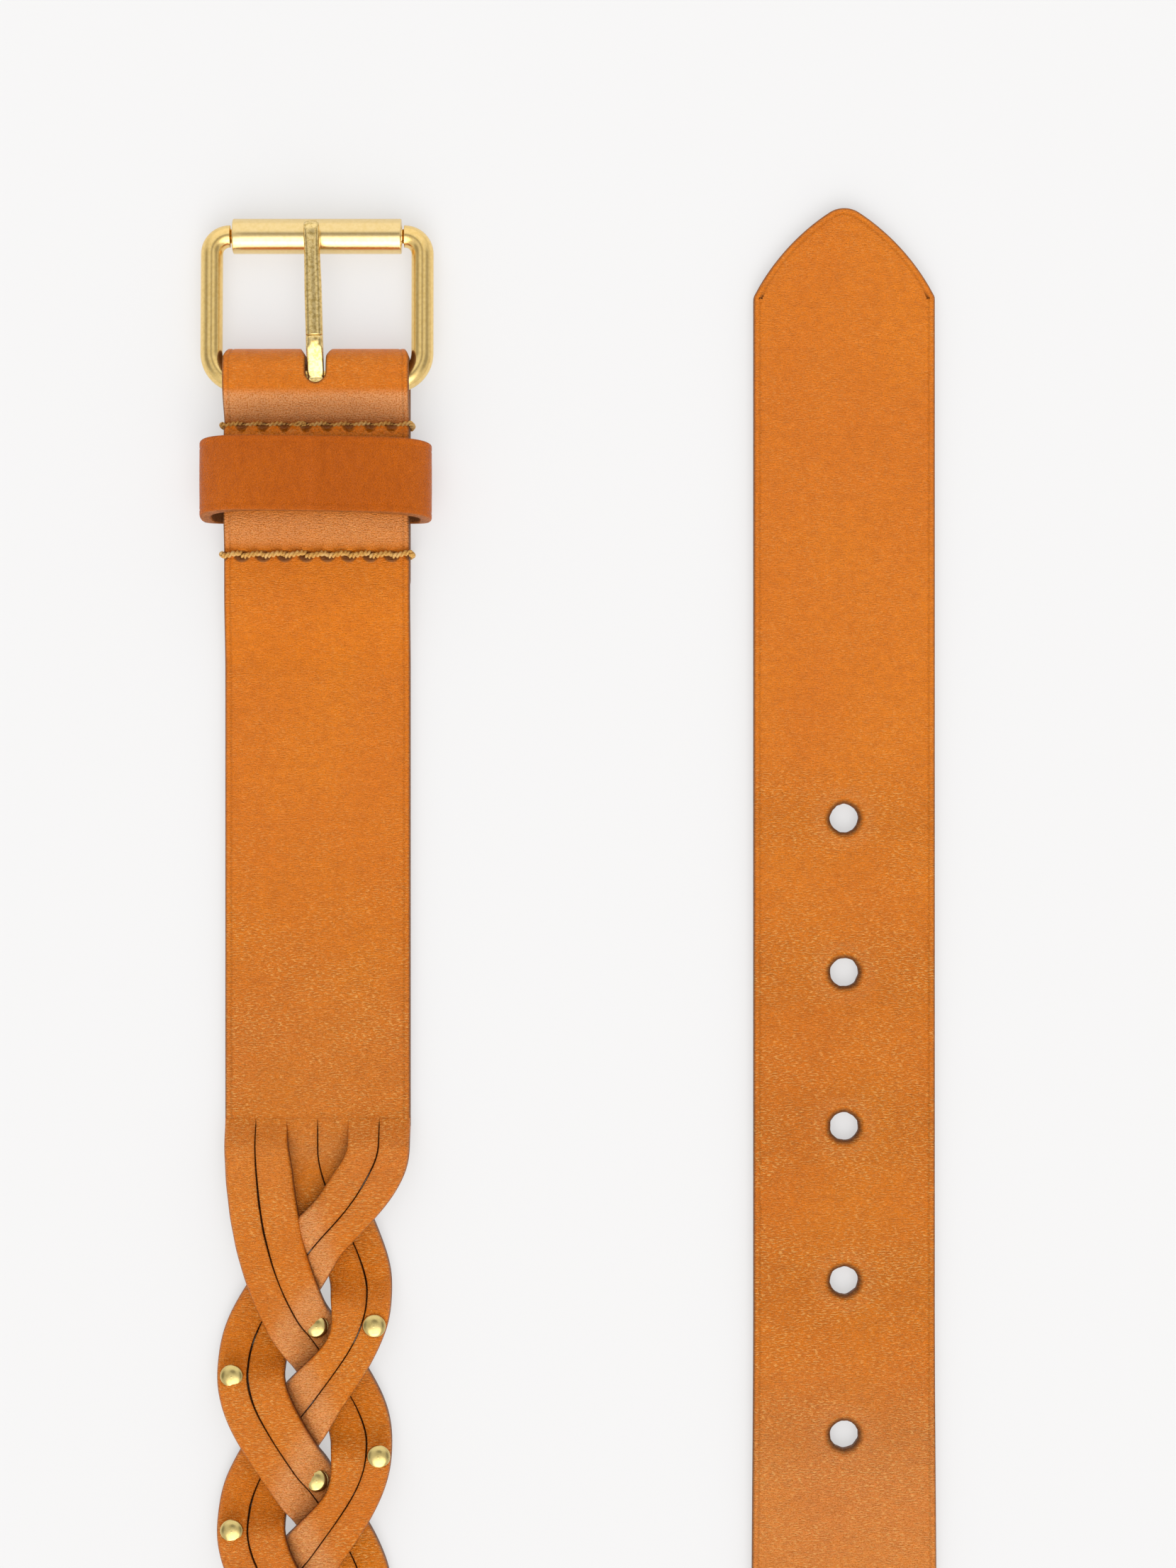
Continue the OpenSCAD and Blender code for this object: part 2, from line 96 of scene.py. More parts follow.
ROLLER_R = (box("roller")[1][2] - box("roller")[0][2]) / 2
KEEPER_LOW, KEEPER_HIGH = box("keeper_loop")

# Sizes shared with the part's source, in mm and degrees
STRAND_W = 5
WAVE_LEN, WAVE_COUNT = 75, 9
WAVE_SIDE = 8.92
WAVE_THIRD = -0.0255 * WAVE_SIDE
WAVE_SLOPE = (WAVE_SIDE + 3 * WAVE_THIRD) * 2 * np.pi / WAVE_LEN
BRAID_DRIFT = -2.1
DRIFT_FADE = (190, 300)
ZERO_V = BRAID_START + 9.45
LAST_TURN = 360 * WAVE_COUNT
SQUARENESS = 5
ROLL_ARM = 14
RISE_LEN = 5
TWIST_UP, TWIST_DOWN = (215, 400), (600, 760)
PAIR_ENTER = (BRAID_START, BRAID_START + 4.8, BRAID_START + 3.8)
PAIR_EXIT = BRAID_END - 5
JOIN_DEG = (0, 90, 180)
LEAVE_DEG = (LAST_TURN - 180, LAST_TURN - 90, LAST_TURN)
JOIN_SLOPE = (0.9 * WAVE_SLOPE, 0, -WAVE_SLOPE)
FIRST_BEND_V = BRAID_START + 33
LEAVE_SLOPE = (-WAVE_SLOPE, 0, WAVE_SLOPE)
FIRST_DEG = (-30, 30, 150)
FINAL_DEG = (LAST_TURN - 150, LAST_TURN - 30, LAST_TURN + 30)
RIVET_D, RIVET_H = 3.85, 0.8
WIRE_R, AXLE_R, NECK_R = 1.8, 1.6, 1.15
HEEL_R = 4.6
FOLD_T = 1.9
FOLD_FRONT = 1.3
FOLD_MID_R = BAR[2] - FOLD_T / 2
LOW_Z, HIGH_Z = 2.0, 3.3
ROW_FRONT_V, ROW_REAR_V = 7, 27.9
STITCH_PITCH, THREAD_R, PLY_TWIST_LEN = 3.46, 0.5, 1.5
KEEPER_V, KEEPER_END_V = 8.9, 20.9
TAB_LEN = 34
NOTCH_END_V, NOTCH_R = 0.35, 1.65
FLOOR_CLEAR = 0.01
FLEX_V = BAR[1] - joint_at["buckle_end_flex"][1]


# ---------------------------------------------------------------- camera, stage and light
VIEW_X, VIEW_Y, VIEW_H = 3.06, 165.63, 254.2
CAMERA_UP = 600
SENSOR = 36

camera_data = bpy.data.cameras.new("camera")
camera_data.sensor_width = SENSOR
camera_data.lens = SENSOR * CAMERA_UP / VIEW_H
camera_data.clip_start, camera_data.clip_end = 0.01, 50
camera = bpy.data.objects.new("camera", camera_data)
camera.location = (VIEW_X * MM, VIEW_Y * MM, (CAMERA_UP + STRAP_T) * MM)
bpy.context.scene.collection.objects.link(camera)
bpy.context.scene.camera = camera


class Nodes:
    """Adds shader nodes to a tree. Each call returns one output of the node it adds."""

    def __init__(self, tree):
        self.tree = tree

    def feed(self, socket, value):
        """Sets a socket, or links another node's output to it."""
        if isinstance(value, bpy.types.NodeSocket):
            self.tree.links.new(value, socket)
        else:
            socket.default_value = value

    def put(self, kind, values=None, out=0, **settings):
        made = self.tree.nodes.new("ShaderNode" + kind)
        for key, value in settings.items():
            setattr(made, key, value)
        for key, value in (values or {}).items():
            self.feed(made.inputs[key], value)
        return made.outputs[out]

    def maths(self, operation, a, b=0.0, c=0.5, clamp=False):
        return self.put("Math", {0: a, 1: b, 2: c}, operation=operation, use_clamp=clamp)

    def times(self, a, b, clamp=False):
        return self.maths("MULTIPLY", a, b, clamp=clamp)

    def plus(self, a, b, clamp=False):
        return self.maths("ADD", a, b, clamp=clamp)

    def colours(self, share, a, b):
        """A share of colour b over colour a."""
        a, b = (c if isinstance(c, bpy.types.NodeSocket) else (*c, 1) for c in (a, b))
        return self.put("Mix", {0: share, 6: a, 7: b}, out=2, data_type="RGBA")

    def step(self, value, low, high, to_low=0.0, to_high=1.0):
        """A smooth step from to_low to to_high as value goes from low to high."""
        return self.put("MapRange", {"Value": value, "From Min": low, "From Max": high,
                                     "To Min": to_low, "To Max": to_high},
                        interpolation_type="SMOOTHSTEP")

    def noise(self, where, scale, detail=2.0, rough=0.5):
        return self.put("TexNoise", {"Vector": where, "Scale": scale, "Detail": detail,
                                     "Roughness": rough})

    def bump(self, height, strength, distance):
        return self.put("Bump", {"Height": height, "Strength": strength, "Distance": distance})

    def surface(self, **values):
        """Sets or links the surface shader's sockets, named with _ for a space."""
        for key, value in values.items():
            self.feed(self.tree.nodes["Principled BSDF"].inputs[key.replace("_", " ")], value)


def new_material(name):
    """A material and its nodes."""
    material = bpy.data.materials.new(name)
    material.use_nodes = True
    return material, Nodes(material.node_tree)


def make_world():
    """A bright studio: a wide soft light low over the near side, and a darker patch overhead."""
    world = bpy.data.worlds.new("studio")
    bpy.context.scene.world = world
    world.use_nodes = True
    nodes = Nodes(world.node_tree)
    way = nodes.put("TexCoord")
    light = AMBIENT
    for direction, near, far, strength in LOBES:
        unit_way = np.array(direction) / np.linalg.norm(direction)
        cosine = nodes.put("VectorMath", {0: way, 1: tuple(unit_way)}, out=1,
                           operation="DOT_PRODUCT")
        lobe = nodes.step(cosine, np.cos(np.radians(far)), np.cos(np.radians(near)))
        light = nodes.plus(light, nodes.times(lobe, strength))
    back = world.node_tree.nodes["Background"]
    nodes.feed(back.inputs["Strength"], light)
    nodes.feed(back.inputs["Color"], LIGHT_COLOUR)


LIGHT_COLOUR = (1, 0.985, 0.965, 1)
AMBIENT = 0.74
# (direction, full within degrees, nothing beyond degrees, strength)
LOBES = (((0.05, -0.60, 0.80), 17, 32, 1.9), ((0.0, -1.0, 0.4), 10, 32, 1.6),
         ((0.0, 1.0, 0.6), 20, 60, 0.35), ((0.0, 0.19, 1.0), 5, 13, -0.55),
         ((0.75, 0.0, 0.65), 8, 26, -0.4), ((-0.8, 0.0, 0.6), 8, 26, -0.4))
make_world()
bpy.context.scene.view_settings.view_transform = "Standard"

FLOOR_HALF, FLOOR_DROP = 6.0, 0.05      # m, mm
floor_mesh = bpy.data.meshes.new("floor")
floor_mesh.from_pydata([(-FLOOR_HALF, -FLOOR_HALF, 0), (FLOOR_HALF, -FLOOR_HALF, 0),
                        (FLOOR_HALF, FLOOR_HALF, 0), (-FLOOR_HALF, FLOOR_HALF, 0)],
                       [], [(0, 1, 2, 3)])
floor = bpy.data.objects.new("floor", floor_mesh)
floor.location.z = -FLOOR_DROP * MM
bpy.context.scene.collection.objects.link(floor)
floor_material, floor_nodes = new_material("floor")
floor_nodes.surface(Base_Color=(0.40, 0.40, 0.405, 1), Roughness=1.0, Specular_IOR_Level=0.0,
                    Emission_Color=(1, 1, 1, 1), Emission_Strength=0.485)
floor_mesh.materials.append(floor_material)


# ---------------------------------------------------------------- the belt's route
def ease(s):
    c = np.clip(s, 0, 1)
    return c * c * (3 - 2 * c)


def ramp(v, low, high):
    return ease((v - low) / (high - low))


def between(v, low, high, fade_in, fade_out=None):
    """1 between low and high, easing in after low and out before high."""
    return ramp(v, low, low + fade_in) * ramp(-v, -high, (fade_out or fade_in) - high)


def mix(a, b, s):
    return a + (b - a) * s


def column(values):
    return np.asarray(values, float)[..., None]


def turn_rad(v):
    return np.pi * np.clip((v - TURN_V) / TURN_LEN, 0, 1)


def inward(v):
    a = turn_rad(v)
    return np.stack([np.cos(a), np.sin(a), 0 * a], -1)


def forward(v):
    a = turn_rad(v)
    return np.stack([np.sin(a), -np.cos(a), 0 * a], -1)


def twist(v):
    return np.radians(90 * ramp(v, *TWIST_UP) * (1 - ramp(v, *TWIST_DOWN)))


def across(v):
    t = twist(v)
    return column(np.cos(t)) * inward(v) + column(np.sin(t)) * [0, 0, 1]


def outward(v):
    t = twist(v)
    return column(np.cos(t)) * [0, 0, 1] - column(np.sin(t)) * inward(v)


def rise(v):
    return WAVE_RISE * ease((v - BRAID_START) / RISE_LEN) * ease((BRAID_END - v) / RISE_LEN)


def place(v, u, w):
    """Row-frame point of a place on the belt, in mm. w is measured from the braid's middle."""
    t = twist(v)
    middle_z = STRAP_W / 2 * np.sin(t) + (STRAND_T / 2 + rise(v)) * np.cos(t)
    run = np.minimum(v - TURN_V, 0) + np.maximum(v - TURN_END_V, 0)
    centre = (np.array([MIDDLE_X, TURN_Y, 0]) + column(middle_z) * [0, 0, 1]
              - LEG_R * inward(v) + column(run) * forward(v))
    return centre + column(u) * across(v) + column(w) * outward(v)


# ---------------------------------------------------------------- the braid
def home(pair):
    return 2 * STRAND_W * (pair - 1)


def phase(v, pair):
    return 360 * (v - ZERO_V) / WAVE_LEN + 120 * (pair - 1)


def phase_v(deg, pair):
    return ZERO_V + WAVE_LEN * (deg - 120 * (pair - 1)) / 360


def wave(v, pair):
    a = np.radians(phase(v, pair))
    return (BRAID_DRIFT * (1 - ramp(v, *DRIFT_FADE)) + WAVE_SIDE * np.sin(a)
            + WAVE_THIRD * np.sin(3 * a))


def hermite(s, y0, y1, d0, d1):
    return (y0 * (1 + 2 * s) * (1 - s) ** 2 + d0 * s * (1 - s) ** 2
            + y1 * s * s * (3 - 2 * s) + d1 * s * s * (s - 1))


def pair_u(v, pair):
    v = np.asarray(v, float)
    enter, leave = phase_v(JOIN_DEG[pair], pair), phase_v(LEAVE_DEG[pair], pair)
    d = enter - PAIR_ENTER[pair]
    joining = hermite((v - PAIR_ENTER[pair]) / d, home(pair), wave(enter, pair), 0,
                      d * JOIN_SLOPE[pair])
    d = PAIR_EXIT - leave
    leaving = hermite((v - leave) / d, wave(leave, pair), home(pair),
                      d * LEAVE_SLOPE[pair], 0)
    return np.select([(v <= PAIR_ENTER[pair]) | (v >= PAIR_EXIT), v < enter, v > leave],
                     [home(pair) + 0 * v, joining, leaving], wave(v, pair))


def pair_slope(v, pair):
    return pair_u(v + 0.5, pair) - pair_u(v - 0.5, pair)


def strand_z(v, pair, du):
    roll = du / ROLL_ARM * 180 / np.pi * np.clip(pair_slope(v, pair) / WAVE_SLOPE, -1, 1)
    a = np.clip(phase(v, pair), FIRST_DEG[pair], FINAL_DEG[pair]) + roll
    return (-rise(v) * np.tanh(SQUARENESS * np.sin(np.radians(2 * a)))
            / np.tanh(SQUARENESS))


def squeezed(v, pair, du):
    """Places across a pair, moved the way its right-hand bends squeeze them: the slit lies
    further out, and the inner edge does just after the bend."""
    after = (phase(v, pair) - 90 + 180) % 360 - 180
    fade = ramp(v, FIRST_BEND_V + 15, FIRST_BEND_V + 45)
    held = between(v, BRAID_START + 8, BRAID_END, 10, 12)
    slit = mix(1.15, 0.45, fade) * np.exp(-((after - 25) / 75) ** 2) * held
    inner = mix(1.9, 1.3, fade) * np.exp(-((after - 36) / 24) ** 2) * held
    share = np.abs(du) / STRAND_W
    return du + slit * (1 - np.clip(share, 0, 1)) + np.where(du < 0, inner, 0) * share


def lumps(x, y, size, seed):
    """Smooth random ripples of about 1, size mm long."""
    rng = np.random.default_rng(seed)
    total = 0
    for _ in range(5):
        a, start = rng.uniform(0, 2 * np.pi, 2)
        k = 2 * np.pi / (size * rng.uniform(0.7, 1.6))
        total = total + np.sin(k * (x * np.cos(a) + y * np.sin(a)) + start)
    return total / 5


def rivet_rows():
    """Every rivet as [v, pair, side, place across its strand]: one at each outer edge, and one
    where a pair starts across."""
    rows = []
    for i in range(3 * WAVE_COUNT + 1):
        step = i * WAVE_LEN / 3
        rows.append([phase_v(90, 1) + step + (5.1 if i % 2 == 0 else 1.3), (2 * i + 1) % 3, 1,
                     0.5])
        rows.append([phase_v(150, 1) + step + 0.85, (2 * i + 2) % 3, -1, 0.5])
        rows.append([phase_v(120, 1) + step - 0.7, (2 * i) % 3, 1, 0.4])
    middle = TURN_V + TURN_LEN / 2
    spans = ((BRAID_START + 20, middle - 3), (middle + 3, BRAID_END - 32))
    return [r for r in rows if any(a < r[0] < b for a, b in spans)]


RIVETS = rivet_rows()


# ---------------------------------------------------------------- meshes
def make(name, points, faces, material, uv=None, **attributes):
    """An object from points in mm, with per-point UVs and float attributes."""
    mesh = bpy.data.meshes.new(name)
    points = np.asarray(points).reshape(-1, 3) * MM
    mesh.from_pydata(points.tolist(), [], [tuple(map(int, f)) for f in faces])
    mesh.validate()
    if uv is not None:
        layer = mesh.uv_layers.new(name="hide")
        corners = np.empty(len(mesh.loops), np.int32)
        mesh.loops.foreach_get("vertex_index", corners)
        uv = np.asarray(uv, np.float32).reshape(-1, 2)
        layer.data.foreach_set("uv", uv[corners].ravel())
    for key, values in attributes.items():
        made = mesh.attributes.new(key, "FLOAT", "POINT")
        made.data.foreach_set("value", np.asarray(values, np.float32).ravel())
    mesh.polygons.foreach_set("use_smooth", [True] * len(mesh.polygons))
    mesh.materials.append(material)
    piece = bpy.data.objects.new(name, mesh)
    bpy.context.scene.collection.objects.link(piece)
    return piece


def quads(rows, size, closed=False, first=0):
    """Quads between rows of points, each row a ring of size points."""
    faces = []
    for i in range(rows if closed else rows - 1):
        a, b = first + i * size, first + (i + 1) % rows * size
        for j in range(size):
            k = (j + 1) % size
            faces.append((a + j, a + k, b + k, b + j))
    return faces


def tube(rings, first=0):
    """Faces of a lofted tube with closed ends: rings is (rows, size, 3)."""
    rows, size = len(rings), len(rings[0])
    ring = np.arange(first, first + size)
    return quads(rows, size, first=first) + [tuple(ring), tuple(ring[::-1] + (rows - 1) * size)]


def unit(rows):
    return rows / np.linalg.norm(rows, axis=1)[:, None]


def left_of(ahead):
    """Unit vectors a quarter turn to the left of flat directions."""
    return unit(np.stack([-ahead[:, 1], ahead[:, 0]], -1))


def polar(r, a):
    return np.stack([r * np.cos(a), r * np.sin(a)], -1)


def spun(x, y, a):
    return x * np.cos(a) - y * np.sin(a), x * np.sin(a) + y * np.cos(a)


def rings_round(path, r, side, up, sides):
    """Circles of radius r round the points of a path."""
    a = np.linspace(0, 2 * np.pi, sides, endpoint=False)[None, :, None]
    return path[:, None] + r * (np.cos(a) * side[:, None] + np.sin(a) * up[:, None])


def resample(path, step):
    """Points spaced evenly along a polyline."""
    path = np.asarray(path, float)
    gone = np.concatenate([[0], np.cumsum(np.linalg.norm(np.diff(path, axis=0), axis=1))])
    count = max(2, int(round(gone[-1] / step)) + 1)
    at = np.linspace(0, gone[-1], count)
    return np.stack([np.interp(at, gone, path[:, k]) for k in range(path.shape[1])], -1), at


def path_frames(path, up, closed=False):
    """Two unit vectors across a path: side and up."""
    if closed:
        ahead = unit(np.roll(path, -1, 0) - np.roll(path, 1, 0))
    else:
        ahead = unit(np.gradient(path, axis=0))
    side = unit(np.cross(ahead, up))
    return side, np.cross(side, ahead)


# ---------------------------------------------------------------- materials
def dimmed(colour, share):
    return tuple(share * part for part in colour)


def leather(name, tan, rich, edge_brown, grain=1.0, gloss=0.34, shine=0.7,
            suede_and_shade_tones=((0.50, 0.30, 0.145), (0.36, 0.19, 0.08))):
    """Vegetable-tanned leather: mottled colour, fine creases across the strap painted pale as a
    glint, a burnished edge line, fibrous cut edges, painted shade in the stitch holes, a painted
    sheen on the faces marked for it, and a suede underside."""
    material, nodes = new_material(name)
    maths, times, plus, step = nodes.maths, nodes.times, nodes.plus, nodes.step
    hide = nodes.put("UVMap", uv_map="hide")
    edge, flesh, crease, pull = (nodes.put("Attribute", out=2, attribute_name=key)
                                 for key in ("edge", "flesh", "crease", "pull"))

    def field(per_mm, detail, rough=0.5, where=hide, turn=0.0, shift=0.0):
        """Noise over the hide, its scale across and along in features per mm."""
        where = nodes.put("Mapping", {"Vector": where, "Scale": (*per_mm, 1),
                                      "Rotation": (0, 0, turn),
                                      "Location": (shift, 2 * shift, 0)})
        return nodes.noise(where, 1.0, detail, rough)

    wander = nodes.put("CombineXYZ", {1: times(nodes.noise(hide, 0.16, 1.0), 0.8)})
    bent = nodes.put("VectorMath", {0: hide, 1: wander}, operation="ADD")
    cloud = field((0.045, 0.03), 3.0)
    mottle = field((0.5, 0.8), 4.0, 0.6)
    lines = field((1.35, 5.0), 2.5, 0.55, where=bent, turn=0.12)
    speck = field((4.2, 5.4), 2.0, 0.6)
    patches = field((0.09, 0.13), 2.0, shift=7.0)
    suede = field((1.6, 1.6), 5.0, 0.7)
    fibre = nodes.noise(nodes.put("TexCoord", out=3), 2600.0, 3.0, 0.65)

    # crease dashes: wrinkle lines, painted pale as a glint of the soft light
    wrinkle_glints = times(step(lines, 0.51, 0.64),
                   maths("MULTIPLY_ADD", step(patches, 0.35, 0.65), 0.55, 0.5))
    wrinkle_glints = times(wrinkle_glints, crease, clamp=True)
    # a painted sheen, speckled, on the faces marked for it
    speckled_sheen = times(pull, step(speck, 0.38, 0.56, 0.15, 1.0), clamp=True)
    u = nodes.put("SeparateXYZ", {0: hide})
    # painted shade in the stitch holes of both rows, also sunk into the bump
    to_hole = maths("PINGPONG", plus(u, 20 * STITCH_PITCH), STITCH_PITCH / 2)
    to_hole = maths("SUBTRACT", STITCH_PITCH / 2, to_hole)
    stitch_pit_shade = 0.0
    for row_v in (ROW_FRONT_V, ROW_REAR_V):
        to_row = maths("ABSOLUTE", maths("SUBTRACT", u.node.outputs[1], row_v + 0.3))
        away = plus(maths("POWER", to_row, 2.0), maths("POWER", times(to_hole, 0.8), 2.0))
        stitch_pit_shade = plus(stitch_pit_shade, step(away, 0.4, 1.3, 1.0, 0.0))
    cut = nodes.colours(step(fibre, 0.35, 0.65), edge_brown, dimmed(edge_brown, 0.4))
    under = nodes.colours(step(suede, 0.3, 0.7), *suede_and_shade_tones)
    colour = nodes.colours(step(cloud, 0.3, 0.7, 0.35, 0.95), rich, tan)
    for share, over in ((step(mottle, 0.3, 0.75, 0.0, 0.5), dimmed(rich, 0.78)),
                        (step(speck, 0.35, 0.62, 0.35, 0.0), dimmed(rich, 0.55)),
                        (times(wrinkle_glints, 0.85), WRINKLE_GLINT), (times(speckled_sheen, 0.62), PAINTED_SHEEN_TONE),
                        (times(stitch_pit_shade, 0.85), STITCH_HOLE_SHADE), (edge, cut), (flesh, under)):
        colour = nodes.colours(share, colour, over)

    rough = maths("MULTIPLY_ADD", mottle, 0.16, gloss - 0.08)
    rough = plus(rough, times(edge, 0.25))
    rough = plus(rough, times(flesh, 0.45), clamp=True)

    height = times(lines, maths("MULTIPLY_ADD", crease, 1.3, 0.5))
    for more in (times(speck, 0.8), times(mottle, 0.25), times(edge, fibre),
                 times(stitch_pit_shade, -2.5)):
        height = plus(height, more)
    nodes.surface(Base_Color=colour, Roughness=rough, IOR=1.45, Specular_IOR_Level=shine,
                  Specular_Tint=(1.0, 0.8, 0.55, 1),
                  Normal=nodes.bump(height, 1.0, 0.0004 * grain))
    return material


def brass(name, light, deep, rough, mottled, scale):
    """Satin brass with a fine mottled tumble finish."""
    material, nodes = new_material(name)
    where = nodes.put("TexCoord", out=3)
    grain, patch = nodes.noise(where, scale * 3, 4.0, 0.7), nodes.noise(where, scale, 3.0, 0.6)
    share = nodes.times(nodes.step(patch, 0.38, 0.68), mottled)
    height = nodes.plus(grain, nodes.times(patch, 0.6))
    nodes.surface(Base_Color=nodes.colours(share, light, deep), Metallic=1.0,
                  Roughness=nodes.maths("MULTIPLY_ADD", grain, 0.16, rough - 0.08),
                  Normal=nodes.bump(height, 0.5, 0.000005))
    return material


def thread_material():
    material, nodes = new_material("waxed_thread")
    where = nodes.put("TexCoord", out=3)
    fuzz, patch = nodes.noise(where, 5200.0, 3.0, 0.6), nodes.noise(where, 500.0)
    colour = nodes.colours(nodes.step(fuzz, 0.3, 0.7), (0.80, 0.46, 0.12), (0.46, 0.22, 0.04))
    colour = nodes.colours(nodes.step(patch, 0.45, 0.7, 0, 0.4), colour, (0.86, 0.62, 0.28))
    nodes.surface(Base_Color=colour, Roughness=0.62, Specular_IOR_Level=0.3,
                  Normal=nodes.bump(fuzz, 0.6, 0.00004))
    return material


def steel_material():
    material, nodes = new_material("staple_steel")
    patch = nodes.noise(nodes.put("TexCoord", out=3), 900.0, 3.0)
    nodes.surface(Base_Color=nodes.colours(patch, (0.52, 0.52, 0.54), (0.36, 0.35, 0.34)),
                  Metallic=1.0, Roughness=nodes.step(patch, 0.3, 0.7, 0.25, 0.45))
    return material


# tones of the painted crease glint, the painted sheen and the painted shade in stitch holes
WRINKLE_GLINT, PAINTED_SHEEN_TONE, STITCH_HOLE_SHADE = (1.0, 0.48, 0.12), (1.0, 0.56, 0.27), (0.10, 0.028, 0.006)
strap_leather = leather("strap_leather", (0.94, 0.250, 0.001), (0.82, 0.184, 0.001),
                        (0.20, 0.062, 0.016))
# the keeper's suede tones are darkened with painted shade on the loop's inside
keeper_leather = leather("keeper_leather", (0.66, 0.142, 0.001), (0.53, 0.100, 0.001),
                         (0.45, 0.16, 0.035), grain=0.9, gloss=0.28, shine=0.35,
                         suede_and_shade_tones=((0.22, 0.075, 0.02), (0.14, 0.04, 0.01)))
buckle_brass, roller_brass, prong_brass, rivet_brass = (brass(*look) for look in (
    ("buckle_brass", (0.92, 0.665, 0.265), (0.80, 0.54, 0.17), 0.23, 0.55, 1500.0),
    ("roller_brass", (0.88, 0.67, 0.32), (0.80, 0.57, 0.21), 0.21, 0.4, 1500.0),
    ("prong_brass", (0.93, 0.71, 0.32), (0.50, 0.33, 0.07), 0.24, 0.7, 1900.0),
    ("rivet_brass", (0.70, 0.55, 0.22), (0.50, 0.38, 0.12), 0.20, 0.5, 900.0)))
thread = thread_material()
steel = steel_material()


# ---------------------------------------------------------------- flat cut hide pieces
def inside(points, loop):
    """Which of the points lie inside a closed loop."""
    x, y = points[:, 0], points[:, 1]
    found = np.zeros(len(points), bool)
    for (x0, y0), (x1, y1) in zip(loop, np.roll(loop, -1, 0)):
        if y0 == y1:
            continue
        hit = ((y0 > y) != (y1 > y)) & (x < (x1 - x0) * (y - y0) / (y1 - y0) + x0)
        found ^= hit
    return found


def cut_hide(name, loops, grid, mapped, crease, pull):
    """A sheet of hide cut to an outline with holes.

    loops is [(points, top, bottom)]: points run with the leather on their left, and top and
    bottom are the edge's shape as [(inset, depth below the face)], from the cut's middle in,
    where None stands for the middle of the cut. mapped(uv, side, depth) gives row-frame
    points, with side 1 for the grain face, -1 for the flesh face and 0 for the middle.
    """
    runs, faces, rings = [], [], []

    def add(points, side, depth=0.0, edge=0.0):
        """Adds vertices that share these values, and returns the number of the first."""
        first = sum(len(run) for run in runs)
        runs.append(np.hstack([points, np.tile([side, depth, edge], (len(points), 1))]))
        return first

    def within(points):
        """Which points lie inside the outline and outside every hole."""
        held = inside(points, rings[0][0])
        for ring, _, _ in rings[1:]:
            held &= ~inside(points, ring)
        return held

    for points, top, bottom in loops:
        normals = left_of(np.roll(points, -1, 0) - np.roll(points, 1, 0))
        firsts = []
        for side, shape in ((-1, bottom[:0:-1]), (1, top)):
            for inset, depth in shape:
                # bare fibres by the cut, and darker where the face is sunk: the burnished crease line, and painted
                # shade in the pressed hole rims
                bare_burnish_and_shade = np.clip(max(1 - inset / BARE_EDGE, 2.7 * (depth or 0)), 0, 1)
                firsts.append(add(points + normals * inset, 0 if depth is None else side,
                                  depth or 0, bare_burnish_and_shade))
        faces += quads(len(firsts), len(points), first=firsts[0])
        rings.append((points + normals * top[-1][0], firsts[0], firsts[-1]))
    ring_points = np.concatenate([ring[0] for ring in rings])
    clear = within(grid)
    for chunk in np.array_split(np.arange(len(grid)), 1 + len(grid) // 2000):
        gap = np.linalg.norm(grid[chunk, None] - ring_points[None], axis=2).min(1)
        clear[chunk] &= gap > RING_GAP
    flat = np.concatenate([ring_points, grid[clear]])
    edges, first = [], 0
    for ring, _, _ in rings:
        n = len(ring)
        edges += [(first + i, first + (i + 1) % n) for i in range(n)]
        first += n
    out = delaunay_2d_cdt([Vector(p) for p in flat], edges, [], 0, 1e-5)
    places = np.array([(p[0], p[1]) for p in out[0]])
    triangles = np.array(out[2], int)
    triangles = triangles[within(places[triangles].mean(1))]
    a, b, c = (places[triangles[:, k]] for k in range(3))
    area = (b[:, 0] - a[:, 0]) * (c[:, 1] - a[:, 1]) - (b[:, 1] - a[:, 1]) * (c[:, 0] - a[:, 0])
    triangles[area < 0] = triangles[area < 0][:, ::-1]
    for side, row in ((1, 2), (-1, 1)):
        known = np.concatenate([ring[row] + np.arange(len(ring[0])) for ring in rings])
        index = np.array([known[min(s)] if s and min(s) < len(known) else -1 for s in out[3]])
        fresh = np.where(index < 0)[0]
        index[fresh] = add(places[fresh], side) + np.arange(len(fresh))
        faces += index[triangles][:, ::side].tolist()
    table = np.concatenate(runs)
    uv, (side, depth, edge) = table[:, :2], table[:, 2:].T
    return make(name, mapped(uv, side, depth), faces, strap_leather, uv=uv, edge=edge * 0.9,
                flesh=(side < 0) * (1 - edge), crease=crease(uv), pull=pull(uv))


def round_over(r, reach=()):
    """An edge's shape: the cut's middle, a rounding of radius r, then extra (inset, depth)."""
    turns = np.linspace(0, np.pi / 2, 5)
    return ([(0.0, None)] + [(r * (1 - np.cos(a)), r * (1 - np.sin(a))) for a in turns]
            + list(reach))


CREASE_LINE = ((0.75, 0.0), (0.92, 0.07), (1.08, 0.07), (1.25, 0.0), (1.45, 0.0))
PLAIN_LINE = ((1.0, 0.0), (1.45, 0.0), (1.45, 0.0))
EDGE_SHAPES = (round_over(0.42, CREASE_LINE), round_over(0.25, PLAIN_LINE))
# a punched hole's rim, pressed down and in by wear
PRESSED_RIM = [(0, None), (0.0, 0.62), (0.05, 0.5), (0.16, 0.40), (0.34, 0.30), (0.56, 0.17),
               (0.8, 0.05), (1.0, -0.03), (1.25, -0.02), (1.6, 0.0)]
BARE_EDGE = 0.35        # how far the cut edge's bare fibres reach in over the faces
RING_GAP = 0.22         # the least distance between the grid's points and an edge
GRID_HALF = 15          # half the width that the grids of points cover
TUCK = 0.35             # how far an end of the hide dips where the strands overlap it
STRAND_ENDS = np.array([0, 0.3, 0.7, 1.2, 1.8, 2.6])


